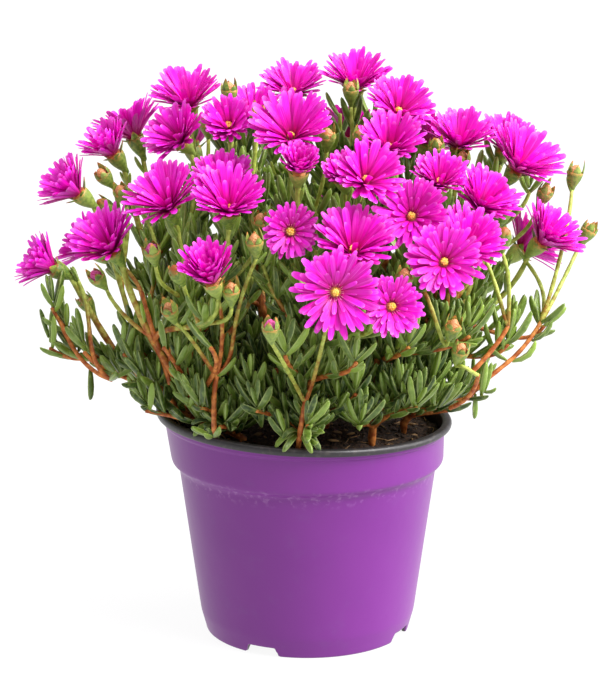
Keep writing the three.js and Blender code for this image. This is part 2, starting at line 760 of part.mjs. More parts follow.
const buds = SEEN_BUDS.map(([u, v, behind, turn, lift]) => ({
  tip: onDome(u, v, behind),
  axis: heading(turn, lift),
}));
blooms.slice(SEEN_BLOOMS.length).forEach((bloom) => {
  const turn = turnOf(bloom.hub) + FAR_BUD.turn;
  const tip = heading(turn).multiplyScalar(Math.hypot(bloom.hub.x, bloom.hub.y));
  tip.z = bloom.hub.z - FAR_BUD.drop;
  buds.push({ tip, axis: heading(turn, FAR_BUD.lift) });
});
buds.forEach(({ tip, axis }) => {
  const { stem, stalk } = nearestStalk(tip);
  const path = branchPath(stalk.path, BUD.from, at(tip, axis, -BUD.length), neck(axis), BUD.steps);
  const geometry = budStalk(path, tip, axis);
  addIfClear(stem, geometry, geometry, stalk.solid, BUD.room);
});

// The tuft round the foot of a stem: leaves by the golden angle up a slim core
function addTuft(stem) {
  const leader = stem.stalks[0];
  const upTuft = (share) => pointOn(leader.path, lerp(TUFT.from, TUFT.to, share));
  const places = TUFT_RINGS.map(({ share }) => upTuft(share));
  const make = (fat) => rod(places, TUFT_RINGS.map(({ radius }) => TUFT.core * radius * fat), TUFT.sides);
  const core = addIfClear(stem, make(1), make(TEST_FAT.core), leader.solid, Infinity);
  for (let i = 0; core && i < TUFT.leaves; i++) {
    const share = (i + 0.5) / TUFT.leaves;
    const out = heading(stem.foot.turn + i * SPRIGS.goldenTurn);
    const middle = upTuft(lerp(TUFT_LEAVES.first, TUFT_LEAVES.last, share));
    const root = at(middle, out, TUFT.core * TUFT_LEAVES.rootOut * (1 - share * share));
    const length = LEAF.length * lerp(0.9, 1.25, chance(stem.index * 50 + i));
    const lean = degToRad(lerp(TUFT.lowLean, TUFT.topLean, share));
    const leaf = { root, along: UP, out, length, lean };
    addIfClear(stem, leafRod(leaf, 1), leafRod(leaf, TEST_FAT.tuftLeaf), core, TUFT.room);
  }
}
stems.forEach(addTuft);

// Leafy side shoots: those seen in the picture, then those of the low foliage
function planSprigs() {
  const seen = SEEN_SPRIGS.map(([u, v, front, turn, lift, from], i) => {
    return { tip: inFront(u, v, front), axis: heading(turn, lift), from, seed: 60 + i };
  });
  const low = Array.from({ length: SPRIGS.count }, (_, i) => {
    const level = SPRIG_LEVELS[i % SPRIG_LEVELS.length];
    const turn = i * SPRIGS.goldenTurn;
    const tip = heading(turn).multiplyScalar(level.radius * lerp(0.84, 1.12, chance(i + 40)));
    tip.z = level.height + SPRIG_PLACE.spread * (chance(i + 80) - 0.5);
    return { tip, axis: heading(turn, level.lift), from: level.from, seed: i };
  });
  return [...seen, ...low];
}
planSprigs().forEach(({ tip, axis, from, seed }) => {
  const stem = stems[stemFor(tip, feet)];
  const leader = stem.stalks[0];
  const path = branchPath(leader.path, from, tip, axis, SPRIGS.steps);
  const make = (fat) => rod(path, tapered(path, SPRIGS.root * fat, SPRIGS.top * fat), SPRIGS.sides);
  const solid = addIfClear(stem, make(1), make(TEST_FAT.sprig), leader.solid, SPRIG_PLACE.room);
  if (solid) addLeaves(stem, { path, solid }, SPRIG_PAIRS, seed);
});
stems.forEach((stem) => {
  stem.stalks.forEach((stalk, i) => {
    if (i % 3 === 0) addLeaves(stem, stalk, STEM_PAIRS, 300 + stem.index * 20 + i);
  });
});

const colours = {
  pot: new THREE.MeshStandardMaterial({ color: "#8d4aa5", roughness: 0.38, metalness: 0 }),
  soil: new THREE.MeshStandardMaterial({ color: "#2b1d14", roughness: 0.95, metalness: 0 }),
  stem: new THREE.MeshStandardMaterial({ color: "#5f8038", roughness: 0.5, metalness: 0 }),
  petal: new THREE.MeshStandardMaterial({ color: "#f01ac4", roughness: 0.45, metalness: 0 }),
};

const plant = new THREE.Group();

function addMesh(name, geometry, material) {
  const mesh = new THREE.Mesh(geometry, material);
  mesh.name = name;
  plant.add(mesh);
}

const twoDigits = (i) => String(i + 1).padStart(2, "0");
addMesh("pot", pot, colours.pot);
addMesh("soil", soil, colours.soil);
stems.forEach((stem, i) => {
  const fused = stem.pieces.reduce((all, piece) => all.add(piece));
  addMesh("leafy_stem_" + twoDigits(i), geometryOf(fused), colours.stem);
});
bloomMeshes.forEach((geometry, i) => addMesh("bloom_" + twoDigits(i), geometry, colours.petal));

export default plant;
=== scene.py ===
# %% [markdown]
# # A potted ice plant in full flower
#
# The real thing is a low succulent in a 14 cm plastic grower's pot. A dozen stems fork their way up out of
# dark peat, carry plump finger leaves low down, and end in magenta flowers of many narrow petals.
# The frame holds the pot, the soil, twelve leafy stems and forty-three blooms at their real size. This
# lesson reads where each flower and leaf stands from those solids and grows the fine plant in their place.

# %% Load the frame
import math

import bpy
import numpy as np
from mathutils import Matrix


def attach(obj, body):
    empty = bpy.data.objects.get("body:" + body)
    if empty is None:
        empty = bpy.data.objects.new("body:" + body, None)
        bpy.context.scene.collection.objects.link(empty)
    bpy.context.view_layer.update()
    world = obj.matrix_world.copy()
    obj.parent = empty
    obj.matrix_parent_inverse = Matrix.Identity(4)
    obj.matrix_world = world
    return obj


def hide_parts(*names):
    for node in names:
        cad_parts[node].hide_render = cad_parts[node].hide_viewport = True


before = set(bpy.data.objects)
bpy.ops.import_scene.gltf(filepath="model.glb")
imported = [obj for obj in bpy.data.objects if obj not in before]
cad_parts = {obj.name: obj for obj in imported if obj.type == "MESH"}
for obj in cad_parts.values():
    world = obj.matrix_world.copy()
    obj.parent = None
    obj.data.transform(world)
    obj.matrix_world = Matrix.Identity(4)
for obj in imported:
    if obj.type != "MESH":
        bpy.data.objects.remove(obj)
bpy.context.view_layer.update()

# %% [markdown]
# ## The camera
#
# The picture looks a little down at the plant from about a metre away with a long lens. The camera comes
# first, so that every later choice can be judged through it.

# %% Camera
MM = 0.001
PHOTO_WIDTH, PHOTO_HEIGHT = 600, 683
SENSOR = 36.0
EYE = np.array([0.0, -1064.0, 385.0])
TILT_DOWN = 13.0
FOCAL_PIXELS = 2325.0
POT_AXIS_U = 307.5

lens = bpy.data.cameras.new("camera")
lens.sensor_width = SENSOR
lens.lens = FOCAL_PIXELS / PHOTO_HEIGHT * SENSOR
lens.shift_x = (PHOTO_WIDTH / 2 - POT_AXIS_U) / PHOTO_HEIGHT
lens.clip_start = 0.01
camera = bpy.data.objects.new("camera", lens)
camera.location = EYE * MM
camera.rotation_euler = (math.radians(90.0 - TILT_DOWN), 0.0, 0.0)
bpy.context.scene.collection.objects.link(camera)
bpy.context.scene.camera = camera
bpy.context.scene.view_settings.view_transform = "Standard"
print("camera: lens", round(lens.lens, 1), "mm")

# %% [markdown]
# ## Working in whole arrays
#
# Everything below is measured in millimetres until a mesh is written. A few small functions do the
# arithmetic on arrays of points at once, and one repeatable draw stands in for chance, so that the plant
# grows the same way each time.

# %% Small arithmetic
OFF_AXIS = np.array([0.31, 0.17, 0.93])
UP = np.array([0.0, 0.0, 1.0])
GOLDEN_TURN = 137.508


def unit(v):
    """Each vector divided by its own length."""
    return v / np.linalg.norm(v, axis=-1, keepdims=True)


def chance(n):
    """A repeatable draw from 0 to 1 for each number: the fraction of sin(12.9898 n) times 43758.5453."""
    s = np.sin(np.asarray(n, float) * 12.9898) * 43758.5453
    return s - np.floor(s)


def lerp(low, high, share):
    """From low to high by a share."""
    return low + (high - low) * share


def ease(low, high, x):
    """0 below low and 1 above high, with 3t2 - 2t3 between them."""
    t = np.clip((x - low) / (high - low), 0.0, 1.0)
    return t * t * (3.0 - 2.0 * t)


def heading(turn, lift=0.0):
    """The direction at a turn in degrees from the viewer, lifted in degrees above level."""
    t, l = np.radians(turn), np.radians(lift)
    return np.stack(np.broadcast_arrays(np.sin(t) * np.cos(l), -np.cos(t) * np.cos(l), np.sin(l)), -1)


def crossways(axis):
    """Two directions square to each axis and to each other."""
    side = unit(np.cross(OFF_AXIS, axis))
    return side, np.cross(axis, side)


def spokes(axis, turn):
    """Directions square to each axis, at each turn about it in radians."""
    side, other = crossways(axis)
    return side * np.cos(turn)[:, None] + other * np.sin(turn)[:, None]


def along_path(path, share):
    """The point at a share of a path of evenly stepped points."""
    place = np.clip(share, 0.0, 1.0) * (len(path) - 1)
    step = min(int(place), len(path) - 2)
    return lerp(path[step], path[step + 1], place - step)


def course(path, share):
    """The direction of a path at a share of it."""
    step = min(int(np.clip(share, 0.0, 1.0) * (len(path) - 1)), len(path) - 2)
    return unit(path[step + 1] - path[step])


# %% [markdown]
# ## One way to make every skin
#
# A stem, a leaf, a petal, a stamen and even the pot are all a ring of points carried along a path, with a
# size that changes on the way. One function carries the rings of many such things at once and closes each
# end on a point, so no skin has a hole. Numbers that the materials need, such as how far along a petal a
# point lies, ride on the points as attributes.

# %% Carrying rings along paths
def frames(path):
    """Side and up directions along each path. They turn with it and don't twist: at each step the last side
    direction is made square to the new course."""
    run = unit(np.gradient(path, axis=1))
    side = np.empty_like(path)
    last = unit(np.cross(OFF_AXIS, run[:, 0]))
    for i in range(path.shape[1]):
        last = unit(last - run[:, i] * (last * run[:, i]).sum(-1, keepdims=True))
        side[:, i] = last
    return side, np.cross(run, side)


def carry(path, side, up, across, rise, tone=0.0, kind=0, mark=None):
    """Closed skins: path is (copies, steps, 3), with a pole at each end, and every step between has a ring of
    points at path + side * across + up * rise. across and rise are (copies, steps, ring). mark is what each
    point of a ring tells its material, or else its share of the way round."""
    ring = path[:, 1:-1, None] + side[:, 1:-1, None] * across[:, 1:-1, :, None]
    ring = ring + up[:, 1:-1, None] * rise[:, 1:-1, :, None]
    copies, steps, count, _ = ring.shape
    points = np.concatenate([path[:, :1], ring.reshape(copies, steps * count, 3), path[:, -1:]], 1)
    i, j = np.meshgrid(np.arange(steps - 1), np.arange(count), indexing="ij")
    a = 1 + i * count + j
    b = 1 + i * count + (j + 1) % count
    near = 1 + np.arange(count)
    far = near + (steps - 1) * count
    last = steps * count + 1
    triangles = np.concatenate([
        np.stack([a, b, b + count], -1).reshape(-1, 3),
        np.stack([a, b + count, a + count], -1).reshape(-1, 3),
        np.stack([np.zeros_like(near), np.roll(near, -1), near], -1),
        np.stack([np.full_like(far, last), far, np.roll(far, -1)], -1),
    ])
    starts = np.arange(copies)[:, None, None] * points.shape[1]
    share = np.linspace(0.0, 1.0, steps + 2)
    along = np.concatenate([share[:1], np.repeat(share[1:-1], count), share[-1:]])
    mark = np.arange(count) / count if mark is None else mark
    turn = np.concatenate([[mark.mean()], np.tile(mark, steps), [mark.mean()]])
    size = np.broadcast_to(np.asarray(tone, float).reshape(-1, 1), (copies, points.shape[1]))
    return {
        "points": points.reshape(-1, 3),
        "triangles": (triangles[None] + starts).reshape(-1, 3),
        "along": np.tile(along, copies),
        "turn": np.tile(turn, copies),
        "tone": size.reshape(-1),
        "kind": kind,
    }


def round_ring(radius, count):
    """across and rise of a round ring: radius times the cosine and the sine of each point's angle."""
    angle = 2.0 * np.pi * np.arange(count) / count
    return radius[..., None] * np.cos(angle), radius[..., None] * np.sin(angle)


def curve(a, b, c, d, steps):
    """Points on cubic curves from a to d that leave towards b and arrive from c. Each is (copies, 3)."""
    t = np.linspace(0.0, 1.0, steps + 1)[None, :, None]
    a, b, c, d = (np.atleast_2d(p)[:, None] for p in (a, b, c, d))
    return (1 - t) ** 3 * a + 3 * (1 - t) ** 2 * t * b + 3 * (1 - t) * t**2 * c + t**3 * d


# %% Writing a mesh
CHANNELS = ("along", "turn", "tone")
# Faces that meet at more than this many degrees are parted by a sharp edge, as at the rim of a thin strap
SHARP = 100.0


def make_piece(name, skins, materials, slot, *nodes):
    """One object from several skins. Each skin's kind is the number of its material."""
    starts = np.cumsum([0] + [len(s["points"]) for s in skins])
    points = np.concatenate([s["points"] for s in skins]) * MM
    triangles = np.concatenate([s["triangles"] + start for s, start in zip(skins, starts)])
    kinds = np.concatenate([np.broadcast_to(s["kind"], len(s["triangles"])) for s in skins])
    mesh = bpy.data.meshes.new(name)
    mesh.vertices.add(len(points))
    mesh.vertices.foreach_set("co", points.astype(np.float32).ravel())
    mesh.loops.add(triangles.size)
    mesh.loops.foreach_set("vertex_index", triangles.astype(np.int32).ravel())
    mesh.polygons.add(len(triangles))
    mesh.polygons.foreach_set("loop_start", np.arange(0, triangles.size, 3, dtype=np.int32))
    mesh.polygons.foreach_set("material_index", kinds.astype(np.int32))
    mesh.update(calc_edges=True)
    mesh.validate()
    mesh.shade_smooth()
    mesh.set_sharp_from_angle(angle=math.radians(SHARP))
    for channel in CHANNELS:
        values = np.concatenate([s[channel] for s in skins]).astype(np.float32)
        mesh.attributes.new(channel, "FLOAT", "POINT").data.foreach_set("value", values)
    for material in materials:
        mesh.materials.append(material)
    piece = bpy.data.objects.new(name, mesh)
    bpy.context.scene.collection.objects.link(piece)
    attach(piece, "root")
    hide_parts(*nodes)
    return piece


# %% [markdown]
# ## Materials
#
# Each material starts from what the real surface is. One function turns a hex colour to linear light and
# one adds a node with its settings and links. Patterns read the attributes that ride on the skins, so a
# streak follows its petal, or Object coordinates, which are in metres.

# %% Paint and nodes
def paint(hex_code):
    """An sRGB hex colour as linear red, green, blue and alpha."""
    values = np.array([int(hex_code[i : i + 2], 16) for i in (1, 3, 5)]) / 255.0
    linear = np.where(values <= 0.04045, values / 12.92, ((values + 0.055) / 1.055) ** 2.4)
    return (*linear.tolist(), 1.0)


def add(tree, kind, inputs=None, **settings):
    """Adds a node. settings are its own properties; inputs are values, or the outputs that they link to."""
    made = tree.nodes.new(kind)
    for name, value in settings.items():
        setattr(made, name, value)
    for name, value in (inputs or {}).items():
        if isinstance(value, bpy.types.NodeSocket):
            tree.links.new(value, made.inputs[name])
        else:
            made.inputs[name].default_value = value
    return made


def new_material(name, **constants):
    """A material with one Principled shader, whose constant sockets are given by name."""
    material = bpy.data.materials.new(name)
    material.use_nodes = True
    shader = material.node_tree.nodes["Principled BSDF"]
    for socket, value in constants.items():
        shader.inputs[socket.replace("_", " ")].default_value = value
    return material, material.node_tree, shader


def channel(tree, name):
    """The output of an attribute that rides on the points."""
    return add(tree, "ShaderNodeAttribute", attribute_name=name).outputs["Fac"]


def blend(tree, share, low, high):
    """Colour from low to high by a share. Both are hex codes or outputs."""
    inputs = {0: share}
    for place, colour in ((6, low), (7, high)):
        inputs[place] = paint(colour) if isinstance(colour, str) else colour
    return add(tree, "ShaderNodeMix", inputs, data_type="RGBA").outputs[2]


def ramp(tree, value, low, high, bottom=0.0, top=1.0):
    """A value between low and high, stretched smoothly to bottom and top."""
    inputs = {"Value": value, "From Min": low, "From Max": high, "To Min": bottom, "To Max": top}
    made = add(tree, "ShaderNodeMapRange", inputs, interpolation_type="SMOOTHSTEP")
    return made.outputs["Result"]


def maths(tree, operation, *values):
    """A sum, product or the like of values or outputs."""
    return add(tree, "ShaderNodeMath", dict(enumerate(values)), operation=operation).outputs[0]


def cloud(tree, size_mm, detail=3.0):
    """Noise whose lumps are about size_mm across, in Object coordinates."""
    where = add(tree, "ShaderNodeTexCoord").outputs["Object"]
    inputs = {"Vector": where, "Scale": 1.0 / (size_mm * MM), "Detail": detail}
    return add(tree, "ShaderNodeTexNoise", inputs).outputs["Fac"]


def streaks(tree, x, y, z, scale):
    """Noise at the place x, y, z, each stretched by its own scale: many lumps one way and few another."""
    seat = add(tree, "ShaderNodeCombineXYZ", {"X": x, "Y": y, "Z": z}).outputs[0]
    stretch = add(tree, "ShaderNodeMapping", {"Vector": seat, "Scale": scale}).outputs[0]
    return add(tree, "ShaderNodeTexNoise", {"Vector": stretch, "Scale": 1.0, "Detail": 2.0}).outputs["Fac"]


def coat(tree, shader, colour, height=None, strength=0.0, depth_mm=0.0):
    """Gives a shader its colour, and bump depth_mm deep where there is a height."""
    tree.links.new(colour, shader.inputs["Base Color"])
    if height is not None:
        inputs = {"Height": height, "Strength": strength, "Distance": depth_mm * MM}
        bump = add(tree, "ShaderNodeBump", inputs)
        tree.links.new(bump.outputs["Normal"], shader.inputs["Normal"])


# %% [markdown]
# ### Petals
#
# A petal is a strap of wet cells in parallel rows. It gives a saturated magenta that deepens to crimson
# and then maroon at the throat; the maroon is partly the petal's own colour and partly painted shade round
# the stamens. It pales to violet pink at the tip, which is a painted highlight and painted glow of light
# through the thin tip. Fine streaks run along it, and its edges are deeper, which is painted shade between
# one petal and the next and is what parts them to the eye. The streaks are noise that is stretched: many
# lumps across, few along.

# %% Petal material
def petal_material():
    """Violet pink to maroon down the petal, with streaks along it. The pale tip is a painted highlight, the
    deeper edges are painted shade between petals and the maroon root is partly painted shade.
    """
    material, tree, shader = new_material("satin_petal", Roughness=0.42, Specular_IOR_Level=0.34)
    along, across, tone = (channel(tree, name) for name in CHANNELS)
    streak = streaks(tree, across, along, maths(tree, "MULTIPLY", tone, 61.0), (7.0, 0.9, 1.0))
    # How far a point is from the petal's middle line, which places the painted shade at its edges
    edge = maths(tree, "ABSOLUTE", maths(tree, "SUBTRACT", across, 0.5))
    body = blend(tree, tone, "#da04ae", "#fa18e4")
    body = blend(tree, ramp(tree, streak, 0.5, 0.7, 0.0, 0.5), body, "#ff62ea")
    # Painted highlight: the tip pales to violet pink where light glints on it and glows through the thin
    # petal
    tip = blend(tree, ramp(tree, along, 0.62, 1.0, 0.0, 0.55), body, "#ff8cf3")
    # Painted shade: the edges are deepened where one petal shades the next
    tip = blend(tree, ramp(tree, edge, 0.4, 0.5, 0.0, 0.36), tip, "#c80696")
    throat = blend(tree, ramp(tree, along, 0.1, 0.62), "#bc0a62", tip)
    # The maroon at the root is partly the petal's own colour and partly painted shade round the stamens
    base = blend(tree, ramp(tree, along, 0.07, 0.2), "#4c0520", throat)
    coat(tree, shader, base, streak, 0.5, 0.25)
    return material


SATIN_PETAL = petal_material()


# %% [markdown]
# ### Stamens, buds and calyxes
#
# The stamens are pale threads with warm yellow pollen at the top. The petals that show in a bud are
# furled, so they are seen edge on, as a swirl of pinks. The calyx is the same waxy green skin as a leaf,
# but it flushes rusty red at its rim, where the sun gets to it.

# %% Flower part materials
def stamen_material():
    """Pollen heads on crimson threads. A tone below 0 marks a bare thread, which is pale pink."""
    material, tree, shader = new_material("pollen_stamen", Roughness=0.6)
    along, _, tone = (channel(tree, name) for name in CHANNELS)
    pollen = blend(tree, ramp(tree, tone, 0.0, 1.0), "#f2b632", "#ffe27c")
    head = blend(tree, ramp(tree, along, 0.3, 0.62), "#a01848", pollen)
    thread = blend(tree, ramp(tree, along, 0.2, 0.8), "#b00a60", "#f7a9cc")
    coat(tree, shader, blend(tree, ramp(tree, tone, -0.6, -0.1), thread, head))
    return material


def furled_petal_material():
    """Furled petals seen edge on, as a swirl: pink in a bud that is opening, tan and peach in a spent one."""
    material, tree, shader = new_material("furled_petal", Roughness=0.45)
    along, turn, tone = (channel(tree, name) for name in CHANNELS)
    swirl = streaks(tree, maths(tree, "ADD", turn, along), along, tone, (26.0, 2.0, 9.0))
    pink = blend(tree, ramp(tree, swirl, 0.35, 0.65), "#c41c78", "#f57cc6")
    peach = blend(tree, ramp(tree, swirl, 0.35, 0.65), "#b8642e", "#f0b27c")
    coat(tree, shader, blend(tree, ramp(tree, tone, 0.45, 0.55), peach, pink), swirl, 0.6, 0.4)
    return material


def calyx_material():
    """Waxy olive green, flushed rusty brown at the rim and on the sepals' tips."""
    material, tree, shader = new_material("waxy_calyx", Roughness=0.45, Specular_IOR_Level=0.4)
    along, _, tone = (channel(tree, name) for name in CHANNELS)
    mottle = cloud(tree, 1.6)
    green = blend(tree, ramp(tree, mottle, 0.3, 0.7), "#4f6e26", "#8fa544")
    pale = blend(tree, ramp(tree, tone, 0.0, 1.0, 0.0, 0.45), green, "#b4c465")
    flush = maths(tree, "ADD", along, maths(tree, "MULTIPLY", mottle, 0.5))
    rusty = blend(tree, ramp(tree, tone, 0.2, 0.8), "#a24a22", "#dc9250")
    colour = blend(tree, ramp(tree, flush, 0.82, 1.14, 0.0, 0.94), pale, rusty)
    coat(tree, shader, colour, cloud(tree, 0.7), 0.25, 0.3)
    return material


POLLEN_STAMEN = stamen_material()
FURLED_PETAL = furled_petal_material()
WAXY_CALYX = calyx_material()


# %% [markdown]
# ### Leaves and stems
#
# The leaf is a bag of water in a thin waxy skin with tiny glistening cells. The eye gets an olive green,
# nearly black green where the leaf is in shade, which is painted shade on the leaves low down and near the
# middle. The grey bloom on it is partly painted highlight, and the paler grey-green line along each of its
# three edges is a painted highlight. The stem starts woody orange brown near the soil and ends yellow green
# below the flower. The tone that rides on a stem says how far up the plant it has grown.

# %% Leaf and stem materials
def leaf_material():
    """Olive green, darker low down and near the middle as painted shade, with a grey bloom that is partly
    painted highlight, a painted highlight along the three edges, paler at the foot, and a bronze tip.
    """
    material, tree, shader = new_material("succulent_leaf", Roughness=0.36, Specular_IOR_Level=0.5)
    along, edge, tone = (channel(tree, name) for name in CHANNELS)
    mottle = cloud(tree, 2.4)
    # Painted shade: a low tone, given to leaves low down and near the middle, is the near black green of
    # shade
    shade_and_tone_green = blend(tree, tone, "#203c0c", "#88a638")
    # The grey bloom is partly the skin's own wax and partly a painted highlight
    waxy = blend(tree, ramp(tree, mottle, 0.42, 0.75, 0.0, 0.38), shade_and_tone_green, "#9db55c")
    # Painted highlight: the paler grey-green line along each of the three edges
    keel = blend(tree, ramp(tree, edge, 0.55, 1.0, 0.0, 0.46), waxy, "#c4d284")
    foot = blend(tree, ramp(tree, along, 0.0, 0.24), "#9dab40", keel)
    tip = blend(tree, ramp(tree, along, 0.94, 1.0, 0.0, 0.5), foot, "#8a6a36")
    coat(tree, shader, tip, cloud(tree, 0.55, 1.0), 0.3, 0.3)
    return material


def stem_material():
    """Woody orange brown at a low tone and yellow green at a high one, with a mottled border between them."""
    material, tree, shader = new_material("ribbed_stem", Roughness=0.5, Specular_IOR_Level=0.4)
    tone = channel(tree, "tone")
    mottle = cloud(tree, 3.0)
    age = maths(tree, "ADD", tone, maths(tree, "MULTIPLY", mottle, 0.6))
    wood = blend(tree, ramp(tree, mottle, 0.35, 0.7), "#9c4a1c", "#dc8a44")
    green = blend(tree, ramp(tree, mottle, 0.35, 0.7), "#8d9c38", "#bcc860")
    coat(tree, shader, blend(tree, ramp(tree, age, 0.72, 1.12), wood, green), cloud(tree, 0.8), 0.3, 0.3)
    return material


SUCCULENT_LEAF = leaf_material()
RIBBED_STEM = stem_material()
print("materials for the plant:", [m.name for m in bpy.data.materials])

# %% [markdown]
# ## Reading the blooms
#
# Each bloom's solid was made from one hub point, with a ring of six points round it a little higher. In
# its mesh the hub is the only point with six neighbours at that distance, and the line from the hub to
# the middle of the ring is the way the flower faces. The cuts between its petals give the length and the
# rise of the petals back. So the fine flowers can never drift from the frame.

# %% Points and edges of a node
BOSS_RADIUS, BOSS_HEIGHT = 3.2, 0.3
CAD_PETALS, CAD_SHORT, CAD_SPREAD = 12, 0.86, 9.0
# The mean of the long petals at rise - spread and the short ones at rise + spread, next to one long petal
CAD_SUM = complex(1.0 + CAD_SHORT, 0.0) * math.cos(math.radians(CAD_SPREAD)) / 2.0
CAD_SUM += complex(0.0, CAD_SHORT - 1.0) * math.sin(math.radians(CAD_SPREAD)) / 2.0
CAD_MEAN = 1.0 / abs(CAD_SUM)
CAD_LEAN = -math.degrees(math.atan2(CAD_SUM.imag, CAD_SUM.real))
MERGE = 0.01


def points_and_edges(name):
    """A node's points in mm, merged where they meet, its edges as pairs, and each point's count of edges."""
    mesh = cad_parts[name].data
    places = np.empty(len(mesh.vertices) * 3, np.float32)
    mesh.vertices.foreach_get("co", places)
    mesh.calc_loop_triangles()
    corners = np.empty(len(mesh.loop_triangles) * 3, np.int32)
    mesh.loop_triangles.foreach_get("vertices", corners)
    exact = places.reshape(-1, 3).astype(float) / MM
    _, first, same = np.unique(np.round(exact / MERGE), axis=0, return_index=True, return_inverse=True)
    triangles = same.reshape(-1)[corners].reshape(-1, 3)
    pairs = np.sort(np.concatenate([triangles[:, [0, 1]], triangles[:, [1, 2]], triangles[:, [2, 0]]]), 1)
    edges = np.unique(pairs, axis=0)
    return exact[first], edges, np.bincount(edges.ravel(), minlength=len(first))


def read_bloom(name):
    """A bloom's hub, the way it faces, the free length of its petals and their rise in degrees. The 48 points
    at the petals' ends stand furthest from the ring. Sorted by radius, they come in twelve fours, each with
    the two lower points and the two upper ones of one petal."""
    points, edges, _ = points_and_edges(name)
    spans = np.linalg.norm(points[edges[:, 0]] - points[edges[:, 1]], axis=1)
    close = edges[np.abs(spans - math.hypot(BOSS_RADIUS, BOSS_HEIGHT)) < MERGE]
    centre = np.bincount(close.ravel(), minlength=len(points)).argmax()
    ring = close[(close == centre).any(1)].sum(1) - centre
    hub = points[centre]
    axis = unit(points[ring].mean(0) - hub)
    high = (points - hub) @ axis
    out = np.linalg.norm(points - hub - high[:, None] * axis, axis=1)
    reach = np.hypot(out - BOSS_RADIUS, high - BOSS_HEIGHT)
    ends = np.argsort(reach)[len(points) - 4 * CAD_PETALS :]
    fours = np.sort(high[ends[np.argsort(out[ends])]].reshape(CAD_PETALS, 4), 1)
    across = out[ends].mean() - BOSS_RADIUS
    up = fours[:, :2].mean() - BOSS_HEIGHT
    rise = math.degrees(math.atan2(up, across)) + CAD_LEAN
    return hub, axis, math.hypot(across, up) * CAD_MEAN, rise, len(ring)


BLOOM_NODES = sorted(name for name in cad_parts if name.startswith("bloom_"))
read = [read_bloom(name) for name in BLOOM_NODES]
hubs = np.array([r[0] for r in read])
axes = np.array([r[1] for r in read])
petal_lengths = np.array([r[2] for r in read])
petal_rises = np.array([r[3] for r in read])
print("blooms read:", len(read), "ring points", {r[4] for r in read})
print("petals", petal_lengths.min().round(1), "to", petal_lengths.max().round(1), "mm")

# %% [markdown]
# ## Petals
#
# An ice plant's petal is a narrow strap with a blunt tip, a little hollow along its length. The petals
# come in three full rows, each half a step round from the last: the outer ones lie lowest and longest, the
# inner ones stand steeper and shorter. Shorter ones stand round the stamens: in an open flower they are few
# and leave the yellow in sight, and in a cupped one they fill the middle. A petal's line is worked out from
# its lift, which changes a little from root to tip. Its section is a thin lens of six points with raised
# edges, and the two rims are sharp, so that it shades as a flat strap and not as a finger. There are over
# three thousand petals, so five rings have to do for each.

# %% Petal shapes
PETAL_ROWS = [
    {"count": 20, "lift": -6.0, "length": 1.0, "width": 1.0},
    {"count": 19, "lift": 1.0, "length": 1.04, "width": 1.0},
    {"count": 17, "lift": 9.0, "length": 1.0, "width": 0.96},
]
# The two inner rows, in an open flower and in a cupped one
INNER_OPEN = [
    {"count": 15, "lift": 13.0, "length": 0.86, "width": 0.9},
    {"count": 12, "lift": 22.0, "length": 0.5, "width": 0.66},
]
INNER_CUPPED = [
    {"count": 12, "lift": 15.0, "length": 1.0, "width": 1.0},
    {"count": 5, "lift": 30.0, "length": 0.8, "width": 0.9},
]
CUPPED_FROM, CUPPED_FULL, STEEPEST = 24.0, 36.0, 88.0
PETAL_SHARES = np.array([0.0, 0.03, 0.28, 0.6, 0.86, 0.97, 1.0])
PETAL_SIZES = np.array([0.0, 0.46, 0.8, 0.98, 1.0, 0.66, 0.0])
PETAL_HALF_WIDTH, PETAL_HALF_THICKNESS, PETAL_HOLLOW = 1.36, 0.13, 0.2
PETAL_ROOT, PETAL_SEAT, USUAL_PETAL = 1.7, -0.4, 15.0
# How far one petal differs from the next: turn, lift and roll in degrees, then the least and most of its
# length, its width and its arch from root to tip in degrees
TURN_DRAW, LIFT_DRAW, ROLL_DRAW = 7.0, 11.0, 40.0
LENGTH_DRAW, WIDTH_DRAW, ARCH_DRAW = (0.84, 1.12), (0.84, 1.14), (-3.6, 21.6)
LENS_ACROSS = np.array([1.0, 0.45, -0.45, -1.0, -0.45, 0.45])
LENS_RISE = np.array([0.0, 1.0, 1.0, 0.0, -1.0, -1.0])


def petal_rows(rise):
    """Turn, lift, length and width of each petal. The inner rows are blended by how cupped the flower is."""
    cupped = ease(CUPPED_FROM, CUPPED_FULL, rise)
    pairs = zip(INNER_OPEN, INNER_CUPPED)
    inner = [{key: lerp(opened[key], closed[key], cupped) for key in opened} for opened, closed in pairs]
    plans = [dict(row, count=round(row["count"])) for row in PETAL_ROWS + inner]
    return np.concatenate([
        np.stack([
            360.0 * (np.arange(plan["count"]) + 0.5 * (r % 2)) / plan["count"],
            *(np.full(plan["count"], plan[key]) for key in ("lift", "length", "width")),
        ], -1)
        for r, plan in enumerate(plans)
    ])


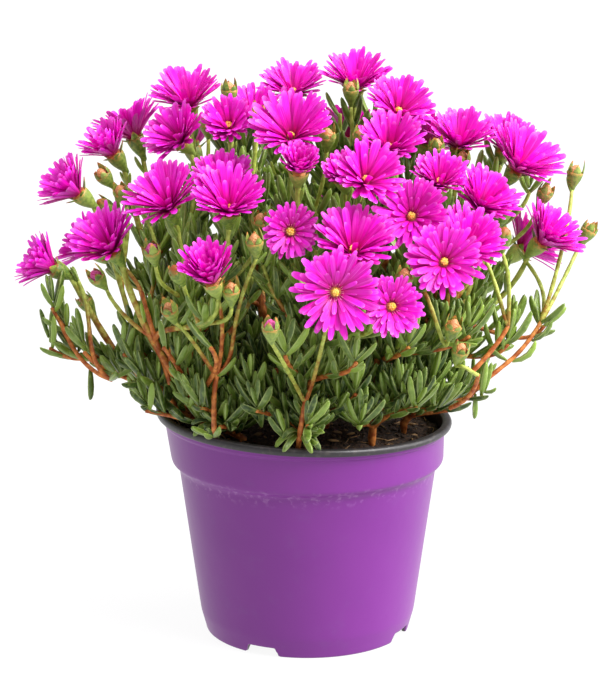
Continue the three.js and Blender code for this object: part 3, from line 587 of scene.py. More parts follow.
def petals(hub, axis, free, rise, seed):
    """All petals of a bloom as one skin. A point at share s of a petal lies out along the sum of cosines of
    the lift, and up along the sum of its sines."""
    row_turn, row_lift, row_length, row_width = petal_rows(rise).T
    number = np.arange(len(row_turn)) + 100.0 * seed
    turn = np.radians(row_turn + 360.0 * chance(seed) + TURN_DRAW * (chance(number) - 0.5))
    lift = np.minimum(rise + row_lift + LIFT_DRAW * (chance(number + 0.3) - 0.5), STEEPEST)
    length = free * row_length * lerp(*LENGTH_DRAW, chance(number + 0.6))
    arch = lerp(*ARCH_DRAW, chance(number + 0.8))
    lifts = np.radians(lift[:, None] + arch[:, None] * (0.5 - PETAL_SHARES))
    full = length + BOSS_RADIUS - PETAL_ROOT
    step = np.diff(PETAL_SHARES, prepend=0.0)[None] * full[:, None]
    out = PETAL_ROOT + np.cumsum(step * np.cos(lifts), 1)
    high = PETAL_SEAT + np.cumsum(step * np.sin(lifts), 1)
    away = spokes(axis, turn)
    path = hub + away[:, None] * out[..., None] + axis * high[..., None]
    run = unit(np.gradient(path, axis=1))
    flat = unit(np.cross(axis, away))[:, None]
    roll = np.radians(ROLL_DRAW * (chance(number + 0.9) - 0.5))[:, None, None] * PETAL_SHARES[None, :, None]
    across_way = flat * np.cos(roll) + np.cross(run, np.broadcast_to(flat, run.shape)) * np.sin(roll)
    up_way = np.cross(run, across_way)
    usual = PETAL_HALF_WIDTH * np.sqrt(free / USUAL_PETAL)
    half = usual * row_width * lerp(*WIDTH_DRAW, chance(number + 0.1))
    width = half[:, None] * PETAL_SIZES
    across = -width[..., None] * LENS_ACROSS
    hollow = PETAL_HOLLOW * width[..., None] * np.abs(LENS_ACROSS) ** 1.5
    thickness = PETAL_HALF_THICKNESS * np.sqrt(PETAL_SIZES)[None, :, None]
    lens = hollow - thickness * LENS_RISE
    mark = 0.5 + 0.5 * LENS_ACROSS
    return carry(path, across_way, up_way, across, lens, tone=chance(number + 0.5), kind=0, mark=mark)


# %% Stamens
STAMENS = 24
STAMEN_DISC, STAMEN_FAN = 1.25, 1.25
STAMEN_TALL = (3.1, 2.3)
STAMEN_SHARES = np.array([0.0, 0.04, 0.5, 0.76, 0.95, 1.0])
STAMEN_RINGS = np.array([0.0, 0.16, 0.17, 0.44, 0.36, 0.0])
THREADS = 20
THREAD_ROOT, THREAD_TIP, THREAD_TALL = 1.6, (3.2, 4.6), (1.3, 2.4)
THREAD_SHARES = np.array([0.0, 0.08, 0.5, 0.92, 1.0])
THREAD_RINGS = np.array([0.0, 0.11, 0.1, 0.09, 0.0])


def threads(hub, axis, away, root_out, tip_out, tall, shares, rings, tone):
    """Thin rods from root_out to tip_out off the axis, that rise tall above the hub on the way."""
    out = lerp(root_out[:, None], tip_out[:, None], shares)
    path = hub + away[:, None] * out[..., None] + axis * (tall[:, None] * shares)[..., None]
    side_way, up_way = frames(path)
    across, rise = round_ring(np.broadcast_to(rings, path.shape[:2]), 4)
    return carry(path, side_way, up_way, across, rise, tone=tone, kind=1)


def stamens(hub, axis, seed):
    """A dense button of stamens, set out by the golden angle, each at the root of its share of the disc's
    area, and a ring of bare threads that lean outwards round it."""
    number = np.arange(STAMENS) + 0.5
    away = spokes(axis, np.radians(number * GOLDEN_TURN + 360.0 * chance(seed)))
    root = STAMEN_DISC * np.sqrt(number / STAMENS)
    tall = lerp(*STAMEN_TALL, number / STAMENS) * lerp(0.9, 1.1, chance(number + 50.0 * seed))
    tone = chance(number + 7.0 * seed)
    button = threads(hub, axis, away, root, root * STAMEN_FAN, tall, STAMEN_SHARES, STAMEN_RINGS, tone)
    number = np.arange(THREADS) + 30.0 * seed
    away = spokes(axis, np.radians(360.0 * (np.arange(THREADS) + 0.6 * chance(number)) / THREADS))
    root = np.full(THREADS, THREAD_ROOT)
    tip = lerp(*THREAD_TIP, chance(number + 0.2))
    tall = lerp(*THREAD_TALL, chance(number + 0.4))
    bare = threads(hub, axis, away, root, tip, tall, THREAD_SHARES, THREAD_RINGS, -1.0)
    return [button, bare]


for seed, name in enumerate(BLOOM_NODES):
    hub, axis, free, rise = hubs[seed], axes[seed], petal_lengths[seed], petal_rises[seed]
    skins = [petals(hub, axis, free, rise, seed + 1), *stamens(hub, axis, seed + 1)]
    bloom = make_piece("open_" + name, skins, [SATIN_PETAL, POLLEN_STAMEN], "petals", name)
print("open blooms:", len(BLOOM_NODES), "of", len(bloom.data.polygons), "triangles each")

# %% [markdown]
# ## Stalks
#
# Every stem starts at its foot in the soil and runs up to its first flower. The other flowers sit on
# branches that leave that leader further and further up. Both are cubic curves: they set off the way they
# grow and arrive from straight below the flower. These are the rules of the frame's own stems, drawn with
# more steps.

# %% Where stems stand
SOIL_LEVEL, SOIL_HEAP, SOIL_EDGE, SOIL_CLEAR = 97.0, 5.0, 63.7, 2.7
INNER_STEMS = {"count": 3, "radius": 17.0, "first": 30.0}
OUTER_STEMS = {"count": 9, "radius": 46.0, "first": 0.0}
CROWN_RADIUS = 50.0


def soil_height(radius):
    """The soil's level plus its heap, which falls off with the square of the distance from the middle."""
    return SOIL_LEVEL + SOIL_HEAP * (1.0 - (radius / SOIL_EDGE) ** 2)


foot_turns, foot_rings, feet = [], [], []
for ring, plan in enumerate((INNER_STEMS, OUTER_STEMS)):
    for i in range(plan["count"]):
        turn = plan["first"] + 360.0 / plan["count"] * i
        foot = heading(turn) * plan["radius"]
        foot[2] = soil_height(plan["radius"]) + SOIL_CLEAR
        foot_turns.append(turn)
        foot_rings.append(ring)
        feet.append(foot)
foot_turns, foot_rings = np.array(foot_turns), np.array(foot_rings)
print("stems:", len(feet))


def stem_for(point):
    """The stem that a point belongs to: an inner one under the crown, else the outer one on its side."""
    ring = 0 if math.hypot(point[0], point[1]) < CROWN_RADIUS else 1
    turn = math.degrees(math.atan2(point[0], -point[1]))
    apart = np.abs((foot_turns - turn + 540.0) % 360.0 - 180.0)
    return int(np.where(foot_rings == ring, apart, np.inf).argmin())


# %% Leaders and branches
SET_OFF = {"near": 40.0, "far": 120.0, "outwards": 0.85, "up": 0.42, "out": 0.5, "arrive": 0.34}
NECK = 0.45
CALYX_LENGTH = 9.0
PATH_STEPS = 24
FORK_FIRST, FORK_STEP, FORK_COUNT, FORK_TURN = 0.22, 0.13, 4, 1.5
LEAVE, ARRIVE = 0.3, 0.4


def neck(axis):
    """The way a stalk arrives below a flower: mostly upright, with a share of the way the flower faces."""
    return unit(lerp(UP, axis, NECK))


def leader_path(foot, end, axis):
    """From a foot to an end whose flower faces along axis. The first pull is upwards under the crown, and
    shared between up and outwards further from the middle."""
    level = np.array([end[0], end[1], 0.0])
    far = np.clip((np.linalg.norm(level) - SET_OFF["near"]) / (SET_OFF["far"] - SET_OFF["near"]), 0.0, 1.0)
    sideways = far * SET_OFF["outwards"]
    reach = np.linalg.norm(end - foot)
    low = foot + UP * reach * SET_OFF["up"] * (1.0 - sideways)
    low = low + unit(level) * reach * SET_OFF["out"] * sideways
    return curve(foot, low, end - neck(axis) * reach * SET_OFF["arrive"], end, PATH_STEPS)[0]


def branch_path(parent, share, end, axis):
    """A branch that leaves a path at a share of it, between the parent's course and the way to its end."""
    start = along_path(parent, share)
    reach = np.linalg.norm(end - start)
    way = unit(course(parent, share) + FORK_TURN * unit(end - start))
    return curve(start, start + way * reach * LEAVE, end - axis * reach * ARRIVE, end, PATH_STEPS)[0]


stalks = [[] for _ in feet]
for hub, axis in zip(hubs, axes):
    stem = stem_for(hub)
    end = hub - axis * CALYX_LENGTH
    if stalks[stem]:
        share = FORK_FIRST + FORK_STEP * ((len(stalks[stem]) - 1) % FORK_COUNT)
        path = branch_path(stalks[stem][0]["path"], share, end, neck(axis))
    else:
        path = leader_path(feet[stem], end, axis)
    stalks[stem].append({"path": path, "lead": not stalks[stem]})
print("flower stalks on each stem:", [len(s) for s in stalks])

# %% [markdown]
# ## Buds
#
# The buds stand among the flowers. Those that the picture shows are placed on its line of sight, where it
# meets the dome of flowers, and one more stands beside each flower of the far side.

# %% Where buds stand
DOME_CENTRE = np.array([0.0, 0.0, 150.0])
DOME_HALF = np.array([112.0, 104.0, 98.0])
PHOTO_CENTRE_V = 341.5
# Tip of each bud at u, v in the picture, mm behind the dome, turn from the viewer and lift in degrees
SEEN_BUDS = np.array([
    [97, 168, 0, -60, 50],
    [118, 184, -4, -30, 60],
    [229, 80, -16, -6, 84],
    [258, 105, -14, 10, 70],
    [206, 114, 2, -10, 70],
    [150, 242, -8, -20, 64],
    [91, 270, 0, -50, 50],
    [173, 266, -8, -30, 50],
    [166, 302, 12, -30, 56],
    [231, 281, 2, 0, 72],
    [261, 212, 14, 14, 66],
    [254, 232, -10, -10, 70],
    [270, 318, -18, -10, 70],
    [351, 80, 4, 0, 78],
    [328, 127, -4, 6, 66],
    [362, 126, -2, 10, 70],
    [437, 137, -12, 0, 74],
    [463, 150, -6, 0, 60],
    [391, 184, 2, 10, 78],
    [506, 205, -6, 24, 60],
    [505, 227, -10, 10, 72],
    [577, 163, 10, 60, 80],
    [594, 222, 16, 90, 60],
    [550, 184, 0, 60, 62],
    [405, 267, -8, 0, 70],
    [456, 318, 14, 30, 62],
    [463, 342, 10, 30, 66],
    [97, 200, 0, -70, 40],
], float)
FAR_BLOOMS = 9
FAR_BUD = {"turn": 14.0, "drop": 16.0, "lift": 56.0}
BUD_LENGTH, BUD_FORK = 13.0, 0.6


def sight(u, v):
    """The direction of the line of sight through each u, v."""
    tilt = math.radians(TILT_DOWN)
    ahead = np.array([0.0, math.cos(tilt), -math.sin(tilt)]) * FOCAL_PIXELS
    lifted = np.array([0.0, math.sin(tilt), math.cos(tilt)])
    return unit(ahead + (u - POT_AXIS_U)[:, None] * [1.0, 0.0, 0.0] + (PHOTO_CENTRE_V - v)[:, None] * lifted)


def on_dome(u, v, behind):
    """Where each line of sight first meets the dome, or passes closest to it, and behind mm further on."""
    start, step = (EYE - DOME_CENTRE) / DOME_HALF, sight(u, v) / DOME_HALF
    a, b = (step**2).sum(1), step @ start
    inside = np.maximum(0.0, b**2 - a * (start @ start - 1.0))
    return EYE + sight(u, v) * ((-b - np.sqrt(inside)) / a + behind)[:, None]


def in_front(u, v, front):
    """The point of each line of sight that stands some mm in front of the pot's axis."""
    ray = sight(u, v)
    return EYE + ray * ((-front - EYE[1]) / ray[:, 1])[:, None]


far_hubs = hubs[-FAR_BLOOMS:]
far_turns = np.degrees(np.arctan2(far_hubs[:, 0], -far_hubs[:, 1])) + FAR_BUD["turn"]
far_tips = heading(far_turns) * np.hypot(far_hubs[:, 0], far_hubs[:, 1])[:, None]
far_tips[:, 2] = far_hubs[:, 2] - FAR_BUD["drop"]
bud_tips = np.concatenate([on_dome(*SEEN_BUDS[:, :3].T), far_tips])
bud_axes = np.concatenate([heading(SEEN_BUDS[:, 3], SEEN_BUDS[:, 4]), heading(far_turns, FAR_BUD["lift"])])

bud_homes = []
ends = [(stem, k, stalk["path"][-1]) for stem, group in enumerate(stalks) for k, stalk in enumerate(group)]
for tip, axis in zip(bud_tips, bud_axes):
    stem, k, _ = min(ends, key=lambda e: np.linalg.norm(e[2] - tip))
    path = branch_path(stalks[stem][k]["path"], BUD_FORK, tip - axis * BUD_LENGTH, neck(axis))
    bud_homes.append((stem, path))
print("buds:", len(bud_tips))

# %% [markdown]
# ## Calyxes and buds
#
# Under each flower the stalk swells into a fleshy top-shaped calyx with five pointed sepals of unequal
# length. A bud is the same cup with its sepals still closed over the furled petals. Both are rings carried
# up their own axis, with a radius that follows a few listed stations, and the sepals are blades that
# start inside the rim.

# %% Calyx shapes
CALYX_STATIONS = np.array([
    [-13.0, 1.15], [-12.0, 1.25], [-9.5, 1.75], [-7.5, 2.7], [-5.5, 3.5], [-3.4, 4.05],
    [-1.4, 4.3], [-0.4, 4.15], [0.1, 3.4], [0.2, 0.0],
])
BUD_STATIONS = np.array([
    [-14.0, 0.9], [-12.6, 1.1], [-11.0, 1.7], [-9.2, 2.6], [-7.4, 3.3], [-5.6, 3.6],
    [-4.0, 3.45], [-2.6, 2.95], [-1.3, 2.0], [-0.5, 1.1], [0.0, 0.0],
])
OPEN_CUP_STATIONS = np.array([
    [-14.0, 0.9], [-12.6, 1.1], [-11.0, 1.7], [-9.2, 2.6], [-7.4, 3.4], [-5.6, 3.8],
    [-4.4, 3.95], [-4.2, 3.5], [-4.3, 0.0],
])
# Furled petals, as a ball that stands out of the open cup
FURLED_STATIONS = np.array([
    [-6.4, 1.6], [-5.8, 2.6], [-5.0, 3.05], [-4.0, 2.9], [-2.9, 2.3], [-1.9, 1.6],
    [-1.1, 0.9], [-0.8, 0.0],
])
# Buds by their place in the table: those that are already pink, and those still closed
PINK_BUDS = {5, 6, 12}
CLOSED_BUDS = {7, 19, 20, 27, 31, 34}
RIB_SIDES, RIB_FROM, RIB_FULL, RIBS = 20, -9.0, -2.0, 5


def turned(tips, axis, stations, rib, tone, kind):
    """Rings up each axis at the stations' heights. The radius swells and shrinks RIBS times round, by rib."""
    high, radius = stations.T
    path = tips[:, None] + axis[:, None] * high[None, :, None]
    side, other = crossways(axis)
    side = np.broadcast_to(side[:, None], path.shape)
    other = np.broadcast_to(other[:, None], path.shape)
    across, rise = round_ring(np.broadcast_to(radius, path.shape[:2]), RIB_SIDES)
    wave = np.cos(2.0 * RIBS * np.pi * np.arange(RIB_SIDES) / RIB_SIDES)
    swell = 1.0 + rib * ease(RIB_FROM, RIB_FULL, high)[None, :, None] * wave
    return carry(path, side, other, across * swell, rise * swell, tone=tone, kind=kind)


BLADE_SHARES = np.array([0.0, 0.04, 0.3, 0.6, 0.85, 1.0])
BLADE_SIZES = np.array([0.8, 1.0, 0.92, 0.62, 0.3, 0.0])
BLADE_PLUMP = np.array([1.0, 1.0, 0.9, 0.7, 0.45, 0.0])
BLADE_HOLLOW = 0.25
# The five sepals' lengths, their half width and half thickness, and how far the lift of one differs
SEPAL_LENGTHS, SEPAL_HALF_WIDTH, SEPAL_HALF_THICKNESS = (1.25, 0.75, 1.05, 0.7, 0.8), 2.05, 0.42
SEPAL_LIFT_DRAW = 12.0


def blades(root, away, axis, length, width, thickness, lift, arch, tone, kind):
    """Pointed blades such as sepals. Each leaves its root at its lift, which grows by arch to the tip."""
    lifts = np.radians(lift[:, None] + arch * BLADE_SHARES)
    step = np.diff(BLADE_SHARES, prepend=0.0) * length[:, None]
    out, high = np.cumsum(step * np.cos(lifts), 1), np.cumsum(step * np.sin(lifts), 1)
    path = root[:, None] + away[:, None] * out[..., None] + axis[:, None] * high[..., None]
    run = unit(np.gradient(path, axis=1))
    flat = np.broadcast_to(unit(np.cross(axis, away))[:, None], run.shape)
    across = -(width[:, None] * BLADE_SIZES)[..., None] * LENS_ACROSS
    plump = (thickness * BLADE_PLUMP)[None, :, None]
    rise = np.broadcast_to(BLADE_HOLLOW * np.abs(across) - plump * LENS_RISE, across.shape)
    return carry(path, flat, np.cross(run, flat), across, rise, tone=tone, kind=kind)


def sepals(tips, axis, seed, seat_out, seat_high, lift, arch, long):
    """Five blades round each axis, seated off it and up it. Two of the five are longer, as is usual."""
    copies = len(tips)
    number = (np.arange(copies)[:, None] * 5 + np.arange(5) + 1000 * seed).ravel()
    turn = np.radians(72.0 * np.arange(5) + 360.0 * chance(np.arange(copies) + seed)[:, None]).ravel()
    axis5 = np.repeat(axis, 5, 0)
    away = spokes(axis5, turn)
    root = np.repeat(tips, 5, 0) + away * seat_out + axis5 * seat_high
    length = long * np.tile(SEPAL_LENGTHS, copies) * lerp(0.85, 1.15, chance(number))
    lifts = np.repeat(np.broadcast_to(lift, copies), 5) + SEPAL_LIFT_DRAW * (chance(number + 0.5) - 0.5)
    width = SEPAL_HALF_WIDTH * lerp(0.85, 1.1, chance(number + 0.2))
    tone = chance(number + 0.7)
    return blades(root, away, axis5, length, width, SEPAL_HALF_THICKNESS, lifts, arch, tone, 2)


# %% [markdown]
# ## Leaves
#
# The leaves stand in opposite pairs, each pair a quarter turn from the last. A leaf is a plump finger
# with three rounded edges: two beside its flat upper face and one keel below. The path bends up towards the
# stem's course, and six points per ring are enough, because there are over five thousand of them.
#
# The leaves that the frame has are read back from its solids: a leaf's tip is a point with three
# neighbours, which are the corners of an even triangle of a known size.

# %% Leaf shapes
LEAF_SHARES = np.array([0.0, 0.03, 0.26, 0.54, 0.8, 0.945, 1.0])
LEAF_SIZES = np.array([0.0, 0.5, 0.84, 1.0, 0.86, 0.5, 0.0])
LEAF_HALF_WIDTH = 1.62
LEAF_CORNERS = np.radians(30.0 + 60.0 * np.arange(6))
LEAF_MARK = np.array([1.0, 0.0, 1.0, 0.0, 1.0, 0.0])
LEAF_EDGE, LEAF_FLAT = 0.2, 0.92
LEAF_BEND_AT, LEAF_PULL_BACK = 0.6, 0.5
USUAL_LEAF, LEAF_WIDTH_DRAW, LEAF_CURL_DRAW = 15.0, (0.88, 1.1), (0.4, 1.5)
# Heights and distances from the axis in mm between which leaves are painted paler, out of the painted shade
# deep in the plant, and how much each adds
PALE_HEIGHTS, PALE_RADII, PALE_BASE, PALE_SHARE, PALE_DRAW = (100.0, 200.0), (25.0, 95.0), 0.02, 0.3, 0.8


def leaf_skin(leaf):
    """Leaves as one skin. The path is a quadratic curve that sets off along away and ends bent towards up by
    its curl. The ring's radius is 1 + 0.2 cos(3 angle + 270), which gives three rounded edges with the keel
    below."""
    root, away, up, length = leaf["root"], leaf["away"], leaf["up"], leaf["length"][:, None]
    t = LEAF_SHARES[None, :, None]
    curl = leaf["curl"][:, None]
    bend = root + away * length * LEAF_BEND_AT
    tip = root + away * length * (1.0 - LEAF_PULL_BACK * curl) + up * length * curl
    path = (1 - t) ** 2 * root[:, None] + 2 * t * (1 - t) * bend[:, None] + t**2 * tip[:, None]
    run = unit(np.gradient(path, axis=1))
    top = unit(up[:, None] - run * (run * up[:, None]).sum(-1, keepdims=True))
    side = np.cross(top, run)
    size = leaf["width"][:, None] * LEAF_SIZES
    edge = 1.0 + LEAF_EDGE * np.cos(3.0 * LEAF_CORNERS + 1.5 * np.pi)
    across = size[..., None] * np.cos(LEAF_CORNERS) * edge
    rise = size[..., None] * np.sin(LEAF_CORNERS) * edge * LEAF_FLAT
    return carry(path, side, top, across, rise, tone=leaf["tone"], kind=1, mark=LEAF_MARK)


def leaf_tone(root, number):
    """Leaves high up and far out are painted paler, and those low down near the middle darker, as painted
    shade deep in the plant; a random tone varies each leaf.
    """
    # Painted shade: leaves low down and near the middle of the soil get a low, darker tone
    pale = PALE_BASE + PALE_SHARE * ease(*PALE_HEIGHTS, root[:, 2])
    pale = pale + PALE_SHARE * ease(*PALE_RADII, np.hypot(root[:, 0], root[:, 1]))
    return np.clip(pale + PALE_DRAW * (chance(number) - 0.35), 0.0, 1.0)


def leaf_set(root, away, up, length, number, curl=0.24):
    """Leaves as arrays, with the width in step with the length."""
    width = LEAF_HALF_WIDTH * lerp(*LEAF_WIDTH_DRAW, chance(number + 0.4))
    return {
        "root": root, "away": away, "up": up, "length": length, "number": number,
        "width": width * np.clip(length / USUAL_LEAF, 0.5, 1.05),
        "tone": leaf_tone(root, number),
        "curl": curl * lerp(*LEAF_CURL_DRAW, chance(number + 0.15)),
    }


def join_leaves(sets):
    """Several sets of leaves as one."""
    return {key: np.concatenate([s[key] for s in sets]) for key in sets[0]}


# %% Reading the frame's leaves
TIP_TRIANGLE, TRIANGLE_ROOM = 2.3 * math.sqrt(3.0), 0.05
MIDDLE_SHARE, BEYOND_SHARE = 0.54, 0.34
ROOT_FROM_TIP = 2.2
READ_CURL = 0.16


def read_leaves(name, seed):
    """The leaves of a leafy stem's solid. A leaf's widest ring is square to the line from its root to its
    tip, so the root lies back from the tip along the ring's normal. Its distance is 2.2 times that from the
    tip to the ring, within 4 in a hundred for every lean."""
    points, edges, ends = points_and_edges(name)
    both = np.concatenate([edges, edges[:, ::-1]])
    both = both[np.argsort(both[:, 0], kind="stable")]
    starts = np.searchsorted(both[:, 0], np.arange(len(points)))
    tips = np.flatnonzero(ends == 3)
    ring = points[both[starts[tips][:, None] + np.arange(3), 1]]
    sides = np.linalg.norm(ring - np.roll(ring, 1, axis=1), axis=-1)
    even = (np.abs(sides - TIP_TRIANGLE) < TRIANGLE_ROOM).all(1)
    tip, ring = points[tips[even]], ring[even]
    middle = ring.mean(1)
    run = unit(np.cross(ring[:, 1] - ring[:, 0], ring[:, 2] - ring[:, 0]))
    ahead = tip - middle
    run = run * np.sign((run * ahead).sum(1, keepdims=True))
    root = tip - run * ROOT_FROM_TIP * np.linalg.norm(ahead, axis=1, keepdims=True)
    away = unit(middle - root)
    length = np.linalg.norm(middle - root, axis=1) / MIDDLE_SHARE
    up = unit(ahead / length[:, None] - BEYOND_SHARE * away)
    return leaf_set(root, away, up, length, np.arange(len(tip)) + 300.0 * seed, READ_CURL)


STEM_NODES = sorted(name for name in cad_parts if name.startswith("leafy_stem_"))
frame_leaves = [read_leaves(name, i + 1) for i, name in enumerate(STEM_NODES)]
print("leaves read from the frame:", [len(s["root"]) for s in frame_leaves])

# %% [markdown]
# ## More leaves
#
# The frame holds 190 leaves, and the fine plant has over five thousand. They are grown by rules of the same
# kind. Side shoots reach out on eight levels by the golden angle, and those that the picture shows at the
# sides, over the rim and behind the upper flowers are placed on its line of sight. At every other pair of
# leaves stands a short claw of more leaves that curve upwards, which is what makes the plant look dense low
# down. Higher up the stalks are almost bare.

# %% Pairs and claws
FLATTEN, LIFT_MORE = 0.45, 0.4
PAIR_TURN_DRAW, PAIR_LEAN_DRAW, PAIR_LENGTH_DRAW = 30.0, 16.0, (0.8, 1.16)


def pair(path, share, quarter, seed, length, lean, curl=0.24):
    """Two opposite leaves at a share of a path, leaning out from its course. All leaves turn up to the light:
    a direction's height is multiplied by 0.45 and gets 0.4 more."""
    up = course(path, share)
    side, other = crossways(up)
    turn = math.radians(90.0 * quarter + PAIR_TURN_DRAW * chance(seed))
    out = side * math.cos(turn) + other * math.sin(turn)
    number = np.array([seed, seed + 0.5])
    leans = np.radians(lean + PAIR_LEAN_DRAW * (chance(number + 3.0) - 0.5))[:, None]
    away = up * np.cos(leans) + np.array([out, -out]) * np.sin(leans)
    away = unit(away * [1.0, 1.0, FLATTEN] + UP * LIFT_MORE)
    root = np.repeat(along_path(path, share)[None], 2, 0)
    lengths = length * lerp(*PAIR_LENGTH_DRAW, chance(number + 9.0))
    return leaf_set(root, away, np.repeat(unit(up + UP)[None], 2, 0), lengths, number, curl)


CLAW_STEP, CLAW_CURL = 2.6, 0.34
CLAW_LEANS, CLAW_LENGTHS = (46.0, 12.0), (1.05, 0.78)


def claw(start, way, seed, pairs, length):
    """A short shoot whose pairs stand close together. The lower ones lean out and curve up; the top ones
    stand up."""
    path = start + way * (CLAW_STEP * pairs * np.linspace(0.0, 1.0, 4))[:, None]
    made = []
    for k in range(pairs):
        share = (k + 0.5) / pairs
        long = length * lerp(*CLAW_LENGTHS, share)
        made.append(pair(path, share, k, seed + 17.0 * k, long, lerp(*CLAW_LEANS, share), CLAW_CURL))
    return made


# %% Side shoots
# Tip of each seen shoot at u, v in the picture, mm in front of the pot's axis, turn from the viewer, lift in
# degrees and the share of the leader where it leaves
SEEN_SHOOTS = np.array([
    [50, 348, 12, -84, 42, 0.5],
    [84, 352, 22, -76, 54, 0.34],
    [124, 354, 32, -60, 60, 0.2],
    [142, 380, 40, -62, 20, 0.12],
    [544, 326, 14, 84, 60, 0.5],
    [508, 344, 24, 70, 58, 0.34],
    [484, 398, 30, 70, 10, 0.12],
    [216, 428, 62, -38, 2, 0.02],
    [297, 446, 75, -6, -6, 0.02],
    [52, 308, 14, -50, 64, 0.3],
    [340, 114, -34, 0, 80, 0.6],
    [374, 120, -38, 20, 80, 0.6],
    [355, 130, -24, -30, 80, 0.62],
    [406, 160, -30, 10, 80, 0.6],
    [224, 148, -36, -20, 80, 0.6],
    [246, 152, -28, 0, 80, 0.6],
    [272, 162, -40, 10, 80, 0.6],
    [322, 162, -30, 0, 80, 0.6],
    [480, 156, -30, 30, 76, 0.6],
    [500, 166, -36, 40, 76, 0.6],
    [530, 190, -24, 50, 74, 0.6],
])
LOW_SHOOTS = 152
SHOOT_LEVELS = [
    {"radius": 78.0, "height": 116.0, "from": 0.03, "lift": 16.0},
    {"radius": 64.0, "height": 132.0, "from": 0.08, "lift": 46.0},
    {"radius": 34.0, "height": 136.0, "from": 0.12, "lift": 62.0},
    {"radius": 86.0, "height": 154.0, "from": 0.24, "lift": 40.0},
    {"radius": 56.0, "height": 180.0, "from": 0.34, "lift": 66.0},
    {"radius": 52.0, "height": 119.0, "from": 0.03, "lift": 38.0},
    {"radius": 36.0, "height": 206.0, "from": 0.45, "lift": 78.0},
    {"radius": 70.0, "height": 192.0, "from": 0.4, "lift": 62.0},
]
SHOOT_SPREAD = 14.0
PAIR_SHARES = (0.2, 0.4, 0.6, 0.8)
SHOOT_LEAF, TOP_LEAF, SHOOT_LEAN = 14.5, 15.5, 46.0
# A claw's way is upwards, with these shares of outwards and of the shoot's own course
CLAW_OUT, CLAW_ON = 0.35, 0.3
TOP_CLAW_AT, TOP_CLAW_UP, TOP_CLAW_PAIRS = 0.95, 1.4, 3


def plan_shoots():
    """Tip, axis and leaving share of each side shoot: the seen ones, then the low ones."""
    tips = in_front(*SEEN_SHOOTS[:, :3].T)
    ways = heading(SEEN_SHOOTS[:, 3], SEEN_SHOOTS[:, 4])
    plans = list(zip(tips, ways, SEEN_SHOOTS[:, 5]))
    for i in range(LOW_SHOOTS):
        level = SHOOT_LEVELS[i % len(SHOOT_LEVELS)]
        turn = i * GOLDEN_TURN
        tip = heading(turn) * level["radius"] * lerp(0.84, 1.12, chance(i + 40))
        tip[2] = level["height"] + SHOOT_SPREAD * (chance(i + 80) - 0.5)
        plans.append((tip, heading(turn, level["lift"]), level["from"]))
    return plans


leaves = [[found] for found in frame_leaves]
seen_leaves = [[] for _ in feet]
single_leaves = [[] for _ in feet]
shoots = [[] for _ in feet]
for i, (tip, axis, leaving) in enumerate(plan_shoots()):
    stem = stem_for(tip)
    path = branch_path(stalks[stem][0]["path"], leaving, tip, axis)
    shoots[stem].append(path)
    mine = seen_leaves[stem] if i < len(SEEN_SHOOTS) else leaves[stem]
    for k, share in enumerate(PAIR_SHARES):
        mine.append(pair(path, share, k, 31.0 * i + k, SHOOT_LEAF, SHOOT_LEAN))
        if (k + i) % 2 == 0:
            out = unit(np.cross(course(path, share), UP)) * (1.0 if (k + i) % 4 < 2 else -1.0)
            way = unit(CLAW_OUT * out + CLAW_ON * course(path, share) + UP)
            pairs = 2 + int(1.6 * chance(i + 7.0 * k))
            mine += claw(along_path(path, share), way, 2000 + 61 * i + 11 * k, pairs, SHOOT_LEAF)
    top = along_path(path, TOP_CLAW_AT)
    mine += claw(top, unit(axis + TOP_CLAW_UP * UP), 1000 + 53 * i, TOP_CLAW_PAIRS, TOP_LEAF)

# %% Leaves on the stalks
STALK_SHARES = (0.14, 0.26, 0.4, 0.55, 0.68)
TOP_PAIRS = ((0.8, 14.0), (0.92, 9.0))
LEAF_LOW, LEAF_HIGH, LEAN_LOW, LEAN_HIGH, CLAW_LEAF, TOP_LEAN = 17.0, 12.0, 48.0, 22.0, 14.0, 22.0
# Shares of outwards, of the stalk's course and of upwards in the way that a claw grows
STALK_CLAW = (0.7, 0.8, 0.5)
BARE_FROM, BARE_FULL, BARE_KEEP = 165.0, 225.0, 0.5
OUT_FROM, OUT_FULL, OUT_KEEP = 80.0, 104.0, 0.42

for stem, group in enumerate(stalks):
    for k, stalk in enumerate(group):
        path = stalk["path"]
        for q, share in enumerate(STALK_SHARES):
            seed = 3000 + 97 * stem + 13 * k + q
            long, lean = lerp(LEAF_LOW, LEAF_HIGH, share), lerp(LEAN_LOW, LEAN_HIGH, share)
            leaves[stem].append(pair(path, share, q, seed, long, lean))
            if (k + q) % 2 == 0:
                for sign in (1.0, -1.0):
                    out = sign * unit(np.cross(course(path, share), OFF_AXIS))
                    way = unit(STALK_CLAW[0] * out + STALK_CLAW[1] * course(path, share) + STALK_CLAW[2] * UP)
                    number = seed + 5000 + 7 * sign
                    leaves[stem] += claw(along_path(path, share), way, number, 2 + k % 2, CLAW_LEAF)
        for share, long in TOP_PAIRS:
            leaves[stem].append(pair(path, share, k, 4000 + 97 * stem + k + 40.0 * share, long, TOP_LEAN))


def in_picture(points):
    """u, v in the picture and the depth of points."""
    tilt = math.radians(TILT_DOWN)
    past = points - EYE
    depth = past[..., 1] * math.cos(tilt) - past[..., 2] * math.sin(tilt)
    high = past[..., 1] * math.sin(tilt) + past[..., 2] * math.cos(tilt)
    u = POT_AXIS_U + FOCAL_PIXELS * past[..., 0] / depth
    return u, PHOTO_CENTRE_V - FOCAL_PIXELS * high / depth, depth


def thinned(leaf):
    """Fewer leaves high up and far out: the share that stays eases from 1 down to BARE_KEEP with height,
    times one that eases from 1 down to OUT_KEEP with distance from the axis."""
    x, y, z = leaf["root"].T
    high_keep = lerp(1.0, BARE_KEEP, ease(BARE_FROM, BARE_FULL, z))
    far_keep = lerp(1.0, OUT_KEEP, ease(OUT_FROM, OUT_FULL, np.hypot(x, y)))
    stays = chance(np.floor(leaf["number"]) * 1.7) < high_keep * far_keep
    return {key: value[stays] for key, value in leaf.items()}


